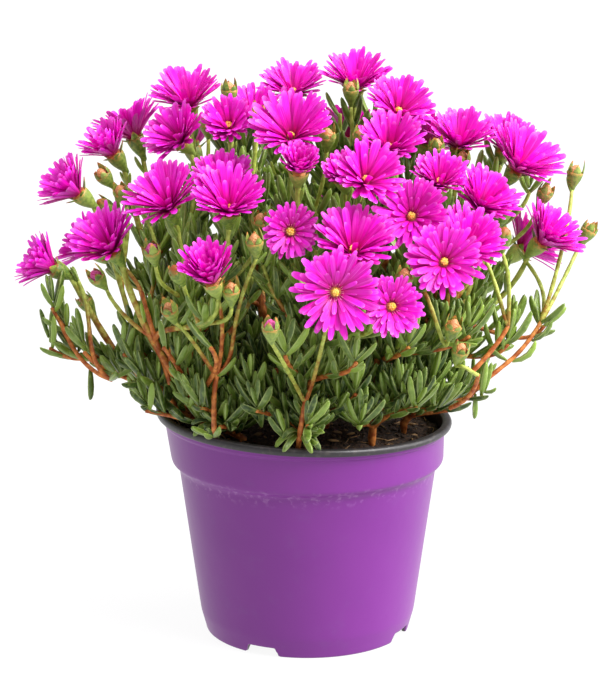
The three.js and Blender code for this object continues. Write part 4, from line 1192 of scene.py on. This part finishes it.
print("leaves planned:", sum(len(s["root"]) for group in leaves + seen_leaves for s in group))

# %% [markdown]
# The picture shows bare stalks in front of the leaves and at the right. Most start as an orange stem and fork
# at a pair of leaves into paler ones, each of which leads to a bud or to a flower. Single leaves hang down
# from the lowest shoots at either side, turn up below them at the right, and droop over the rim in front.

# %% Stalks in front
# Points of each stalk at u, v in the picture and mm in front of the pot's axis, its tones at the foot and the
# top, from 0 for wood to 1 for yellow green, its radius there, and the bud or bloom that it leads to
FRONT_STALKS = [
    ([[213, 448, 50], [214, 424, 57], [214, 400, 60], [217, 376, 60]], (0.0, 0.25), 1.25, None),
    ([[217, 377, 60], [204, 358, 62], [190, 338, 64]], (0.45, 0.9), 0.95, ("bud", 8)),
    ([[217, 377, 60], [221, 352, 64], [222, 326, 76]], (0.2, 0.7), 0.95, ("bloom", 12)),
    ([[217, 377, 60], [231, 352, 60], [236, 320, 68]], (0.35, 0.8), 0.95, ("bud", 11)),
    ([[297, 462, 55], [299, 440, 64], [302, 420, 67], [305, 402, 67]], (0.0, 0.3), 1.25, None),
    ([[305, 403, 67], [297, 388, 72], [285, 366, 90]], (0.55, 0.95), 0.95, ("bud", 12)),
    ([[305, 403, 67], [312, 384, 70], [320, 354, 84]], (0.35, 0.9), 0.95, ("bloom", 32)),
    ([[170, 384, 40], [162, 358, 42], [154, 334, 44], [146, 308, 44]], (0.0, 0.4), 1.2, None),
    ([[146, 308, 44], [142, 294, 44], [136, 282, 44]], (0.35, 0.7), 1.0, ("bloom", 5)),
    ([[155, 338, 44], [136, 326, 42], [118, 308, 38]], (0.4, 0.95), 1.0, ("bud", 6)),
    ([[470, 396, 30], [497, 371, 26], [518, 353, 22], [541, 322, 16]], (0.0, 0.5), 1.1, None),
    ([[541, 322, 16], [553, 284, 10], [565, 236, 0]], (0.6, 1.0), 1.0, ("bud", 21)),
    ([[541, 322, 16], [554, 298, 10], [567, 272, 0]], (0.6, 1.0), 1.0, ("bud", 22)),
    ([[541, 322, 16], [544, 304, 10], [540, 284, 4]], (0.6, 1.0), 1.0, ("bloom", 31)),
    ([[472, 372, 42], [485, 358, 40], [498, 342, 38], [508, 326, 36]], (0.0, 0.5), 1.15, None),
    ([[508, 326, 36], [509, 300, 38], [508, 276, 40]], (0.6, 1.0), 1.0, ("bud", 20)),
    ([[508, 326, 36], [500, 300, 34], [490, 270, 26]], (0.6, 1.0), 1.0, ("bloom", 28)),
    ([[450, 408, 44], [463, 401, 50], [473, 390, 57], [478, 375, 64]], (0.0, 0.5), 1.1, None),
    ([[478, 375, 64], [472, 372, 68], [466, 368, 72]], (0.7, 1.0), 0.95, ("bud", 26)),
    ([[60, 322, 12], [72, 346, 16], [88, 366, 22], [112, 380, 30]], (0.3, 0.0), 1.1, None),
    ([[108, 378, 28], [92, 350, 20], [88, 316, 10]], (0.2, 0.9), 1.1, ("bloom", 1)),
]
CALYX_FOOT = 12.6
# Pairs on a stalk: share of its path, quarter turns, first number, length, lean and curl
FORK_PAIRS = [(0.99, 0, 7000, 15.0, 52.0, 0.4)]
BRANCH_PAIRS = [(0.55, 1, 7000, 12.0, 34.0, 0.24), (0.97, 0, 7100, 9.0, 30.0, 0.24)]
# Claws at the rim: where each starts, the way it grows and its pairs
RIM_CLAWS = [
    ([212, 432, 60], (0.2, -0.1, 1.0), 3), ([214, 436, 63], (-0.2, -1.0, 0.1), 2),
    ([236, 424, 54], (0.3, 0.1, 1.0), 3), ([262, 430, 56], (-0.2, 0.0, 1.0), 3),
    ([292, 446, 64], (-0.5, -0.2, 1.0), 3), ([306, 446, 64], (0.5, -0.2, 1.0), 3),
    ([300, 449, 65], (0.1, -1.0, 0.1), 2), ([190, 410, 44], (-0.2, -0.1, 1.0), 3),
    ([330, 424, 46], (0.3, 0.0, 1.0), 3), ([410, 414, 42], (0.2, -0.2, 1.0), 3),
    ([436, 408, 40], (0.8, -0.5, 0.5), 2), ([386, 402, 34], (0.0, -0.2, 1.0), 3),
]
RIM_LEAF = 15.0
# Single leaves: root at u, v in the picture and mm in front of the axis, turn from the viewer, lift in
# degrees and length. The first two hang straight down.
HANGING_LEAVES = np.array([
    [90, 367, 22.5, 0, -90, 16.0],
    [475, 393, 29, 0, -90, 12.5],
])
UPTURNED_LEAVES = np.array([
    [511, 361, 23, 84, 6, 15.5],
    [531, 341, 19, 84, 20, 13.5],
    [507, 360, 24, -80, 26, 12.0],
    [503, 350, 25, -20, 70, 10.0],
    [481, 391, 29, 70, -10, 9.0],
])
DRAPED_LEAVES = np.array([
    [298, 433, 63, -70, 2, 14.0],
    [300, 433, 63, 62, 0, 14.0],
    [298, 434, 63, -30, -4, 15.5],
    [301, 434, 63, 22, -3, 15.5],
    [298, 431, 63, -48, 24, 13.0],
    [302, 431, 63, 46, 26, 13.0],
    [213, 423, 45, -54, 0, 13.0],
    [213, 423, 45, 16, -4, 14.0],
    [215, 422, 45, 58, 8, 13.0],
    [212, 421, 45, -84, 18, 12.0],
])
# Each table with the way its leaves bend, how much they curl, and its first number
SINGLE_LEAVES = (
    (HANGING_LEAVES, heading(-90.0), 0.02, 9200.0),
    (UPTURNED_LEAVES, UP, 0.4, 9300.0),
    (DRAPED_LEAVES, -UP, 0.42, 9000.0),
)


def through(points, steps=PATH_STEPS):
    """A smooth path through four points: the cubic that passes the inner two at a third and two thirds."""
    p0, p1, p2, p3 = points
    b = (-5.0 * p0 + 18.0 * p1 - 9.0 * p2 + 2.0 * p3) / 6.0
    c = (2.0 * p0 - 9.0 * p1 + 18.0 * p2 - 5.0 * p3) / 6.0
    return curve(p0, b, c, p3, steps)[0]


front_stalks = [[] for _ in feet]
for i, (seen, tones, radius, target) in enumerate(FRONT_STALKS):
    points = in_front(*np.array(seen, float).T)
    if target:
        kind, n = target
        at_bud = kind == "bud"
        end = bud_tips[n] - bud_axes[n] * BUD_LENGTH if at_bud else hubs[n - 1] - axes[n - 1] * CALYX_FOOT
        points = np.concatenate([points, end[None]])
    path = through(points)
    stem = stem_for(path[0])
    front_stalks[stem].append((path, tones, radius))
    for share, quarter, first, long, lean, curl in BRANCH_PAIRS if target else FORK_PAIRS:
        seen_leaves[stem].append(pair(path, share, quarter, first + i, long, lean, curl))
for start, way, pairs in RIM_CLAWS:
    root = in_front(*np.array(start, float)[:, None])[0]
    seen_leaves[stem_for(root)] += claw(root, unit(np.array(way)), 8000 + start[0], pairs, RIM_LEAF)
for table, bend, curl, first in SINGLE_LEAVES:
    for i, (u, v, front, turn, lift, long) in enumerate(table):
        root = in_front(*np.array([[u], [v], [front]]))
        away = heading(turn, lift)[None]
        made = leaf_set(root, away, bend[None], np.array([long]), np.array([first + i]), curl)
        single_leaves[stem_for(root[0])].append(made)
GUIDED_BUDS = {target[1] for *_, target in FRONT_STALKS if target and target[0] == "bud"}
print("front stalks:", len(FRONT_STALKS), "of which to buds:", len(GUIDED_BUDS))

# %% [markdown]
# A leaf that would stand in a flower or in the pot's wall is left off, as it would have grown round it.
# The test looks at points along each leaf. A point is in a flower if it is between the lines of its lowest
# and its steepest petals and no further out than their tips. It is in the pot if it is below the lip and
# close to the wall on either side. Leaves that would hide a stalk or a gap of the picture go too.

# %% Keeping leaves clear
POT_LIP_RADIUS, POT_LIP_HEIGHT = 70.0, 106.0
TEST_SHARES = np.array([0.0, 0.35, 0.7, 1.0])
HIDE_NEAR = 4.5
# Room in mm round a flower's petals, over the lip, inside and outside the pot's wall, and the furthest that a
# leaf may reach below the lip
BLOOM_ROOM, LIP_ROOM, WALL_INSIDE, WALL_OUTSIDE, DROOP = 2.0, 1.5, 9.0, 4.0, 14.0
# How much steeper and flatter than its petals' rise a flower's two lines are, and the steepest, in radians
STEEPER, FLATTER, STEEPEST_LINE = 0.2, 0.24, 1.2
REACH_ROOM, SOIL_ROOM = 1.0, 0.5
# Places where the picture shows no leaf: u, v and radius in pixels
SEEN_GAPS = np.array([
    [98, 305, 20], [78, 300, 12], [128, 296, 12], [104, 332, 12], [30, 324, 10], [520, 272, 8], [526, 284, 9],
    [519, 326, 6], [502, 381, 9], [497, 390, 7], [505, 300, 7],
], float)
# Leaves may hide the first seven points of a stalk, or the first three of a slim branch
SLIM, BARE_AFTER, SLIM_BARE_AFTER, DEPTH_ROOM = 1.05, 7, 3, 2.0
bare_paths = [
    path[BARE_AFTER if radius > SLIM else SLIM_BARE_AFTER : -2]
    for group in front_stalks
    for path, _, radius in group
]


def hides_stalk(test):
    """Which leaves have a test point in front of a bare stalk and within HIDE_NEAR pixels of it."""
    hidden = np.zeros(len(test), bool)
    u, v, depth = in_picture(test)
    for path in bare_paths:
        path_u, path_v, path_depth = in_picture(path)
        near = np.hypot(u[..., None] - path_u, v[..., None] - path_v) < HIDE_NEAR
        hidden |= (near & (depth[..., None] < path_depth + DEPTH_ROOM)).any((1, 2))
    return hidden


def in_seen_gap(test):
    """Which leaves have a test point at a place where the picture shows none."""
    u, v, _ = in_picture(test)
    away = np.hypot(u[..., None] - SEEN_GAPS[:, 0], v[..., None] - SEEN_GAPS[:, 1])
    return (away < SEEN_GAPS[:, 2]).any((1, 2))


def keep_clear(leaf):
    """The leaves whose test points are outside every flower, clear of the pot's wall and the soil, not far
    below the lip, in front of no bare stalk and in no gap of the picture."""
    test = leaf["root"][:, None] + (leaf["away"] * leaf["length"][:, None])[:, None] * TEST_SHARES[:, None]
    past = test[:, :, None] - hubs
    high = (past * axes).sum(-1)
    out = np.linalg.norm(past - high[..., None] * axes, axis=-1)
    lift = np.radians(petal_rises)
    cup_high = (petal_lengths + BLOOM_ROOM) * np.sin(np.minimum(lift + STEEPER, STEEPEST_LINE))
    reach = BOSS_RADIUS + petal_lengths + REACH_ROOM
    floor_high = (out - BOSS_RADIUS) * np.tan(np.maximum(lift - FLATTER, 0.0))
    in_bloom = (high > floor_high - BLOOM_ROOM) & (high < cup_high + BLOOM_ROOM) & (out < reach)
    radius = np.hypot(test[..., 0], test[..., 1])
    low = test[..., 2] < POT_LIP_HEIGHT + LIP_ROOM
    in_wall = low & (radius > POT_LIP_RADIUS - WALL_INSIDE) & (radius < POT_LIP_RADIUS + WALL_OUTSIDE)
    in_soil = (test[..., 2] < soil_height(radius) - SOIL_ROOM) & (radius < POT_LIP_RADIUS)
    too_low = test[..., 2] < POT_LIP_HEIGHT - DROOP
    bad = in_bloom.any((1, 2)) | in_wall.any(1) | in_soil[:, 1:].any(1) | too_low.any(1)
    bad |= hides_stalk(test) | in_seen_gap(test)
    return {key: value[~bad] for key, value in leaf.items()}


# %% Growing each stem
STEM_SIDES, SHOOT_SIDES = 9, 7
# Radii in mm at the foot and the top, then tones there, of a leading stalk, a branch and a bud's stalk
LEADER, BRANCH, BUD_STALK = (2.0, 1.35, 0.0, 0.85), (1.35, 1.2, 0.35, 1.0), (1.0, 0.95, 0.5, 1.0)
SHOOT_FOOT, SHOOT_TOP, STALK_TAPER, SUNK_DEPTH, END_ROOM = 1.25, 0.95, 0.9, 8.0, 0.5
NODE_SWELL, NODES = 0.07, 6.0
# Sepals' seat off the axis and up it, lift, arch and length, on a closed bud and on an opening one. Under a
# flower the third number is how much lower than its petals they stand.
CLOSED_SEPALS, OPENING_SEPALS = (3.0, -5.4, 78.0, 26.0, 4.6), (3.5, -5.0, 78.0, 30.0, 5.4)
FLOWER_SEPALS = (3.4, -1.1, 14.0, 14.0, 5.6)
# How deep the ribs are on an open cup, on a closed bud and on furled petals
CUP_RIB, CLOSED_RIB, FURLED_RIB = 0.05, 0.09, 0.03
# Tones of a closed bud, of a cup round furled petals, and of pink and spent petals
CLOSED_TONE, CUP_TONE, PINK_TONE, SPENT_TONE = 0.3, 0.5, 0.9, 0.2


def tube(path, sides, root, top, low_tone, high_tone, sunk=None):
    """A stalk along a path, tapering from root to top, slightly swollen where leaves join it."""
    start = path[:1] - END_ROOM * course(path, 0.0) if sunk is None else sunk
    path = np.concatenate([start, path, path[-1:] + course(path, 1.0) * END_ROOM])[None]
    share = np.linspace(0.0, 1.0, path.shape[1])[None]
    radius = lerp(root, top, share) * (1.0 + NODE_SWELL * np.cos(2.0 * np.pi * NODES * share))
    side, up = frames(path)
    across, rise = round_ring(radius, sides)
    skin = carry(path, side, up, across, rise, kind=0)
    skin["tone"] = lerp(low_tone, high_tone, skin["along"])
    return skin


PRUNE_NEAR, PRUNE_LEAST = 4.0, 5
# A shoot's tones grow by this share between two heights, and by the next to its tip
GREEN_FROM, GREEN_FULL, GREEN_BY_HEIGHT, GREEN_AT_TIP = 140.0, 200.0, 0.6, 0.4


def pruned(path, roots):
    """The path up to its last point with a leaf's root within PRUNE_NEAR mm, so that no shoot ends bare."""
    near = (np.linalg.norm(path[:, None] - roots, axis=-1) < PRUNE_NEAR).any(1)
    return path[: 1 + max(np.flatnonzero(near), default=-1)]


def grow(stem):
    """One stem's skins: its stalks and shoots, its calyxes and buds, and its leaves."""
    skins = []
    kept = keep_clear(join_leaves([thinned(join_leaves(leaves[stem])), *seen_leaves[stem]]))
    kept = join_leaves([kept, *single_leaves[stem]])
    mine = [i for i in range(len(hubs)) if stem_for(hubs[i]) == stem]
    for stalk in stalks[stem]:
        sunk = np.array([[feet[stem][0], feet[stem][1], SOIL_LEVEL - SUNK_DEPTH]]) if stalk["lead"] else None
        skins.append(tube(stalk["path"], STEM_SIDES, *(LEADER if stalk["lead"] else BRANCH), sunk))
    for path in shoots[stem]:
        path = pruned(path, kept["root"])
        if len(path) < PRUNE_LEAST:
            continue
        green = GREEN_BY_HEIGHT * ease(GREEN_FROM, GREEN_FULL, path[[0, -1], 2])
        skins.append(tube(path, SHOOT_SIDES, SHOOT_FOOT, SHOOT_TOP, green[0], GREEN_AT_TIP + green[1]))
    for path, tones, radius in front_stalks[stem]:
        skins.append(tube(path, STEM_SIDES, radius, STALK_TAPER * radius, *tones))
    skins.append(turned(hubs[mine], axes[mine], CALYX_STATIONS, CUP_RIB, chance(np.array(mine) + 0.5), 2))
    off, up, less, arch, long = FLOWER_SEPALS
    skins.append(sepals(hubs[mine], axes[mine], 3 + stem, off, up, petal_rises[mine] - less, arch, long))
    buds = [i for i, (home, _) in enumerate(bud_homes) if home == stem]
    for i in buds:
        if i not in GUIDED_BUDS:
            skins.append(tube(bud_homes[i][1], SHOOT_SIDES, *BUD_STALK))
    showing = [i for i in buds if i not in CLOSED_BUDS]
    closed = [i for i in buds if i in CLOSED_BUDS]
    if closed:
        at = bud_tips[closed], bud_axes[closed]
        skins.append(turned(*at, BUD_STATIONS, CLOSED_RIB, CLOSED_TONE, 2))
        skins.append(sepals(*at, 40 + stem, *CLOSED_SEPALS))
    if showing:
        at = bud_tips[showing], bud_axes[showing]
        skins.append(turned(*at, OPEN_CUP_STATIONS, CUP_RIB, CUP_TONE, 2))
        skins.append(sepals(*at, 60 + stem, *OPENING_SEPALS))
        tone = [PINK_TONE if i in PINK_BUDS else SPENT_TONE for i in showing]
        skins.append(turned(*at, FURLED_STATIONS, FURLED_RIB, tone, 3))
    skins.append(leaf_skin(kept))
    return skins, len(kept["root"])


leaf_total = 0
triangle_total = 0
for stem, name in enumerate(STEM_NODES):
    skins, count = grow(stem)
    materials = [RIBBED_STEM, SUCCULENT_LEAF, WAXY_CALYX, FURLED_PETAL]
    piece = make_piece("grown_" + name, skins, materials, "foliage", name)
    leaf_total += count
    triangle_total += len(piece.data.polygons)
print("leaves kept:", leaf_total, "triangles on the stems:", triangle_total)

# %% [markdown]
# ## The pot
#
# The pot is thermoformed: a warm sheet of plastic is sucked over a mould, so the wall is thin and every
# corner is round. It is black sheet with a purple skin, and the black shows inside and on the lip. The
# profile is a list of corners, each rounded by a short curve, spun round the axis. The foot's
# lower edge rises in four places as drain notches, and the lip is pulled a little out of true.

# %% Pot profile
POT_SIDES = 360
POT_OUTSIDE = np.array([  # radius, height, rounding
    [46.8, 5.0, 0.6], [46.8, 0.0, 0.7], [48.6, 0.0, 0.8], [49.2, 2.4, 0.5], [50.3, 6.4, 2.0],
    [51.2, 9.6, 2.0], [60.8, 79.4, 0.9], [61.6, 81.2, 0.9], [64.2, 83.3, 1.2], [64.6, 85.2, 0.8],
    [66.0, 99.6, 0.5],
    [67.4, 100.6, 0.6], [67.6, 102.2, 0.5], [69.4, 102.6, 0.6], [70.0, 104.2, 0.9], [69.2, 106.0, 0.9],
    [66.6, 106.0, 1.0], [65.2, 104.4, 0.8], [64.7, 99.4, 1.0], [63.2, 84.5, 1.0], [59.6, 80.0, 1.0],
    [49.9, 9.0, 2.0], [49.4, 6.3, 0.6],
])
LIP_PULL = {"from": 84.0, "tilt": 3.2, "shift": 1.8}
NOTCHES = {"count": 4, "first": -26.0, "width": 18.0, "top": 13.0, "height": 4.3}
FOOT_RADIUS, NOTCHED_BEYOND, CUT_MOST = 48.6, 40.0, 0.45
# The middle of the wall at some heights, and the height where the purple skin ends under the lip
WALL_HEIGHTS, WALL_RADII = (0.0, 9.6, 79.4, 84.5, 100.0, 102.4), (47.8, 50.4, 60.1, 63.8, 65.3, 66.4)
PURPLE_TOP = 102.5


def rounded(corners, steps=4):
    """Corners as a fine outline. Each is cut back by its rounding on both sides, or by CUT_MOST of a shorter
    side, and a quadratic curve joins the two cuts."""
    place, size = corners[:, :2], corners[:, 2:]
    before, after = np.roll(place, 1, 0), np.roll(place, -1, 0)
    before[0], after[-1] = place[0] + [-1.0, 0.0], place[-1] + [-1.0, 0.0]
    reach_in = np.minimum(size, CUT_MOST * np.linalg.norm(before - place, axis=1, keepdims=True))
    reach_out = np.minimum(size, CUT_MOST * np.linalg.norm(after - place, axis=1, keepdims=True))
    a = place + unit(before - place) * reach_in
    c = place + unit(after - place) * reach_out
    t = np.linspace(0.0, 1.0, steps)[None, :, None]
    return ((1 - t) ** 2 * a[:, None] + 2 * t * (1 - t) * place[:, None] + t**2 * c[:, None]).reshape(-1, 2)


def pull_lip(points):
    """The lip's pull out of true: above its start each point drops with x and moves to the left, by a share
    that grows to the lip."""
    share = np.clip((points[:, 2] - LIP_PULL["from"]) / (POT_LIP_HEIGHT - LIP_PULL["from"]), 0.0, 1.0)
    pulled = points.copy()
    pulled[:, 2] -= share * LIP_PULL["tilt"] * points[:, 0] / POT_LIP_RADIUS
    pulled[:, 0] -= share * LIP_PULL["shift"]
    return pulled


def spun(profile, sides, low, high):
    """A profile of radius and height spun round the axis, closed at the heights low and high on the axis."""
    heights = np.concatenate([[low], profile[:, 1], [high]])
    radius = np.concatenate([[0.0], profile[:, 0], [0.0]])
    path = np.stack([np.zeros_like(heights), np.zeros_like(heights), heights], -1)[None]
    side = np.broadcast_to([1.0, 0.0, 0.0], path.shape)
    other = np.broadcast_to([0.0, 1.0, 0.0], path.shape)
    across, rise = round_ring(radius[None], sides)
    return carry(path, side, other, across, rise)


def notch_lift(turn):
    """How high the foot's lower edge is raised at each turn: full height inside a notch's top width, easing
    to nothing at its full width."""
    step = 360.0 / NOTCHES["count"]
    off = np.abs((turn - NOTCHES["first"] + step / 2.0) % step - step / 2.0)
    reach = np.radians(off) * FOOT_RADIUS
    return NOTCHES["height"] * (1.0 - ease(NOTCHES["top"] / 2.0, NOTCHES["width"] / 2.0, reach))


# %% Pot surface and materials
def pot_skin():
    """The spun pot, with its notches and its pulled lip. Kind 0 is the purple skin and kind 1 the black."""
    skin = spun(rounded(POT_OUTSIDE), POT_SIDES, POT_OUTSIDE[0, 1], POT_OUTSIDE[-1, 1])
    points = skin["points"]
    turn = np.degrees(np.arctan2(points[:, 0], -points[:, 1]))
    notched = np.hypot(points[:, 0], points[:, 1]) > NOTCHED_BEYOND
    points[:, 2] = np.maximum(points[:, 2], np.where(notched, notch_lift(turn), 0.0))
    middle = points[skin["triangles"]].mean(1)
    radius, height = np.hypot(middle[:, 0], middle[:, 1]), middle[:, 2]
    outside = radius > np.interp(height, WALL_HEIGHTS, WALL_RADII)
    skin["kind"] = np.where(outside & (height < PURPLE_TOP), 0, 1)
    skin["points"] = pull_lip(points)
    return skin


def purple_material():
    """Purple skin of a thermoformed sheet: satin, a little cloudy, scuffed pale along the collar's edge."""
    satin = {"Roughness": 0.36, "IOR": 1.49, "Specular_IOR_Level": 0.4}
    material, tree, shader = new_material("thermoformed_purple", **satin)
    where = add(tree, "ShaderNodeTexCoord").outputs["Object"]
    height = add(tree, "ShaderNodeSeparateXYZ", {"Vector": where}).outputs["Z"]
    colour = blend(tree, cloud(tree, 45.0, 2.0), "#702281", "#7b2b8a")
    smear = blend(tree, ramp(tree, cloud(tree, 9.0, 4.0), 0.55, 0.8, 0.0, 0.15), colour, "#6f4a86")
    rise = ramp(tree, height, 0.074, 0.0805)
    fall = ramp(tree, height, 0.0855, 0.082)
    rub = ramp(tree, cloud(tree, 2.6, 4.0), 0.52, 0.7, 0.0, 0.3)
    mark = maths(tree, "MULTIPLY", maths(tree, "MULTIPLY", rise, fall), rub)
    coat(tree, shader, blend(tree, mark, smear, "#b98cc4"), cloud(tree, 16.0, 2.0), 0.25, 0.8)
    return material


def black_material():
    """The black core of the sheet, which shows on the lip and inside, dusty with dry peat."""
    material, tree, shader = new_material("thermoformed_black", Roughness=0.38, IOR=1.49)
    dust = ramp(tree, cloud(tree, 2.2, 4.0), 0.5, 0.75, 0.0, 0.35)
    coat(tree, shader, blend(tree, dust, "#2b282b", "#625a54"), cloud(tree, 3.0), 0.2, 0.3)
    return material


pot = make_piece("grower_pot", [pot_skin()], [purple_material(), black_material()], "pot_plastic", "pot")
print("pot:", len(pot.data.polygons), "triangles")

# %% [markdown]
# ## The soil
#
# Peat looks black brown when damp, with crumbs of every size, tan fibres and bits of bark. The plug's top
# is a spun surface raised by three sizes of lattice noise, and loose crumbs and fibres lie on it.

# %% Soil surface
SOIL_SIDES, SOIL_RINGS = 220, 56
SOIL_LUMPS = ((9.0, 1.1), (3.4, 0.9), (1.5, 0.5))
SOIL_FOOT = 6.9
SOIL_WALL = np.array([[49.3, SOIL_FOOT], [59.0, 80.5], [62.6, 84.8]])
LUMPS_FROM, LUMPS_FULL, SOIL_TONE = 94.0, 97.5, 0.3


def lattice(x, y, size, seed):
    """Noise from -1 to 1: a draw for each corner of a lattice of the given size, blended smoothly between."""
    x, y = x / size + seed * 7.0, y / size + seed * 3.0
    i, j = np.floor(x), np.floor(y)
    u, v = ease(0.0, 1.0, x - i), ease(0.0, 1.0, y - j)
    corner = [chance((i + a) * 1.13 + (j + b) * 57.7 + seed) for a, b in ((0, 0), (1, 0), (0, 1), (1, 1))]
    return 2.0 * lerp(lerp(corner[0], corner[1], u), lerp(corner[2], corner[3], u), v) - 1.0


def lumps(x, y):
    """Three sizes of lattice noise, added up."""
    return sum(depth * lattice(x, y, size, n + 1) for n, (size, depth) in enumerate(SOIL_LUMPS))


def soil_skin():
    """The plug: up the pot's inside wall, then inwards over the heaped top."""
    share = np.linspace(1.0, 0.0, SOIL_RINGS + 1)[:-1]
    top = np.stack([SOIL_EDGE * share, soil_height(SOIL_EDGE * share)], -1)
    skin = spun(np.concatenate([SOIL_WALL, top]), SOIL_SIDES, SOIL_FOOT, SOIL_LEVEL + SOIL_HEAP)
    points = skin["points"]
    fade = ease(LUMPS_FROM, LUMPS_FULL, points[:, 2])
    points[:, 2] += fade * lumps(points[:, 0], points[:, 1])
    skin["points"] = pull_lip(points)
    skin["tone"] = np.full(len(points), SOIL_TONE)
    return skin


def bits(count, seed, size, slim, pale):
    """Loose crumbs or fibres that lie on the soil: short fat or long slim pieces at scattered places, each a
    bent path with four-sided rings."""
    number = np.arange(count) + 1000.0 * seed
    radius = (SOIL_EDGE - 2.0) * np.sqrt(chance(number))
    turn = 360.0 * chance(number + 0.33)
    way = heading(360.0 * chance(number + 0.66), 30.0 * (chance(number + 0.2) - 0.4))
    length = size * lerp(0.5, 1.5, chance(number + 0.8))[:, None]
    middle = heading(turn) * radius[:, None]
    middle[:, 2] = soil_height(radius) + lumps(middle[:, 0], middle[:, 1]) + 0.3
    bow = heading(turn + 70.0, 20.0) * length * 0.2
    t = np.linspace(-0.5, 0.5, 6)[None, :, None]
    path = middle[:, None] + way[:, None] * length[:, None] * t + bow[:, None] * (0.25 - t**2)
    thick = slim * length * lerp(0.6, 1.4, chance(number + 0.9))[:, None]
    fat = thick * np.array([0.0, 0.7, 1.0, 1.0, 0.6, 0.0])[None]
    side, up = frames(path)
    across, rise = round_ring(fat, 4)
    skin = carry(path, side, up, across, rise, tone=lerp(*pale, chance(number + 0.1)))
    skin["points"] = pull_lip(skin["points"])
    return skin


def peat_material():
    """Damp peat: near black crumbs, with brown and tan ones among them. Tone says how pale a bit is."""
    material, tree, shader = new_material("damp_peat", Roughness=0.92)
    tone = channel(tree, "tone")
    grain = cloud(tree, 1.3, 5.0)
    dark = blend(tree, ramp(tree, grain, 0.35, 0.7), "#150d09", "#4a3322")
    coat(tree, shader, blend(tree, ramp(tree, tone, 0.4, 1.0), dark, "#c49a6c"), grain, 0.8, 1.0)
    return material


soil_parts = [
    soil_skin(),
    bits(900, 1, 1.7, 0.34, (0.1, 0.6)),
    bits(150, 2, 4.5, 0.12, (0.4, 0.9)),
    bits(80, 3, 9.0, 0.03, (0.7, 1.0)),
]
soil = make_piece("peat_plug", soil_parts, [peat_material()], "potting_soil", "soil")
print("soil:", len(soil.data.polygons), "triangles")

# %% [markdown]
# ## Stage and light
#
# The picture is a bright studio cut-out: white all round, with the main light from the front right, so the
# pot's left side is deeper. The floor reaches far enough back to fill the view. It is the lit white sheet
# of a light table, so the shadow on it is faint and it sends up the same light everywhere. A white surround
# gives the fill, and four wide soft suns give the shape, because a sun lights the far floor as brightly as
# the near.

# %% Floor and surround
FLOOR_HALF = 8.0  # metres
floor_corners = [(x * FLOOR_HALF, y * FLOOR_HALF, 0) for x, y in ((-1, -1), (1, -1), (1, 1), (-1, 1))]
floor_mesh = bpy.data.meshes.new("floor")
floor_mesh.from_pydata(floor_corners, [], [(0, 1, 2, 3)])
floor = bpy.data.objects.new("floor", floor_mesh)
bpy.context.scene.collection.objects.link(floor)
floor_material, _, floor_shader = new_material("pale_paper", Roughness=0.95, Specular_IOR_Level=0.1)
floor_shader.inputs["Base Color"].default_value = paint("#505050")
floor_shader.inputs["Emission Color"].default_value = paint("#ffffff")
floor_shader.inputs["Emission Strength"].default_value = 0.92
floor_mesh.materials.append(floor_material)

world = bpy.data.worlds.new("studio")
bpy.context.scene.world = world
world.use_nodes = True
surround = world.node_tree.nodes["Background"].inputs
surround["Color"].default_value = paint("#ffffff")
surround["Strength"].default_value = 0.42


# %% Lamps
SUNS = {
    "key": {"turn": 60.0, "lift": 46.0, "spread": 36.0, "strength": 4.8},
    "side": {"turn": 98.0, "lift": 28.0, "spread": 50.0, "strength": 2.7},
    "back": {"turn": 205.0, "lift": 60.0, "spread": 40.0, "strength": 0.8},
    "top": {"turn": -50.0, "lift": 74.0, "spread": 50.0, "strength": 0.9},
}
AIM = np.array([0.0, 0.0, 0.14])

for name, plan in SUNS.items():
    light = bpy.data.lights.new(name, "SUN")
    light.angle = math.radians(plan["spread"])
    light.energy = plan["strength"]
    lamp = bpy.data.objects.new(name, light)
    lamp.location = AIM + heading(plan["turn"], plan["lift"])
    lamp.rotation_euler = (math.radians(90.0 - plan["lift"]), 0.0, math.radians(plan["turn"]))
    bpy.context.scene.collection.objects.link(lamp)
print("lamps:", list(SUNS))
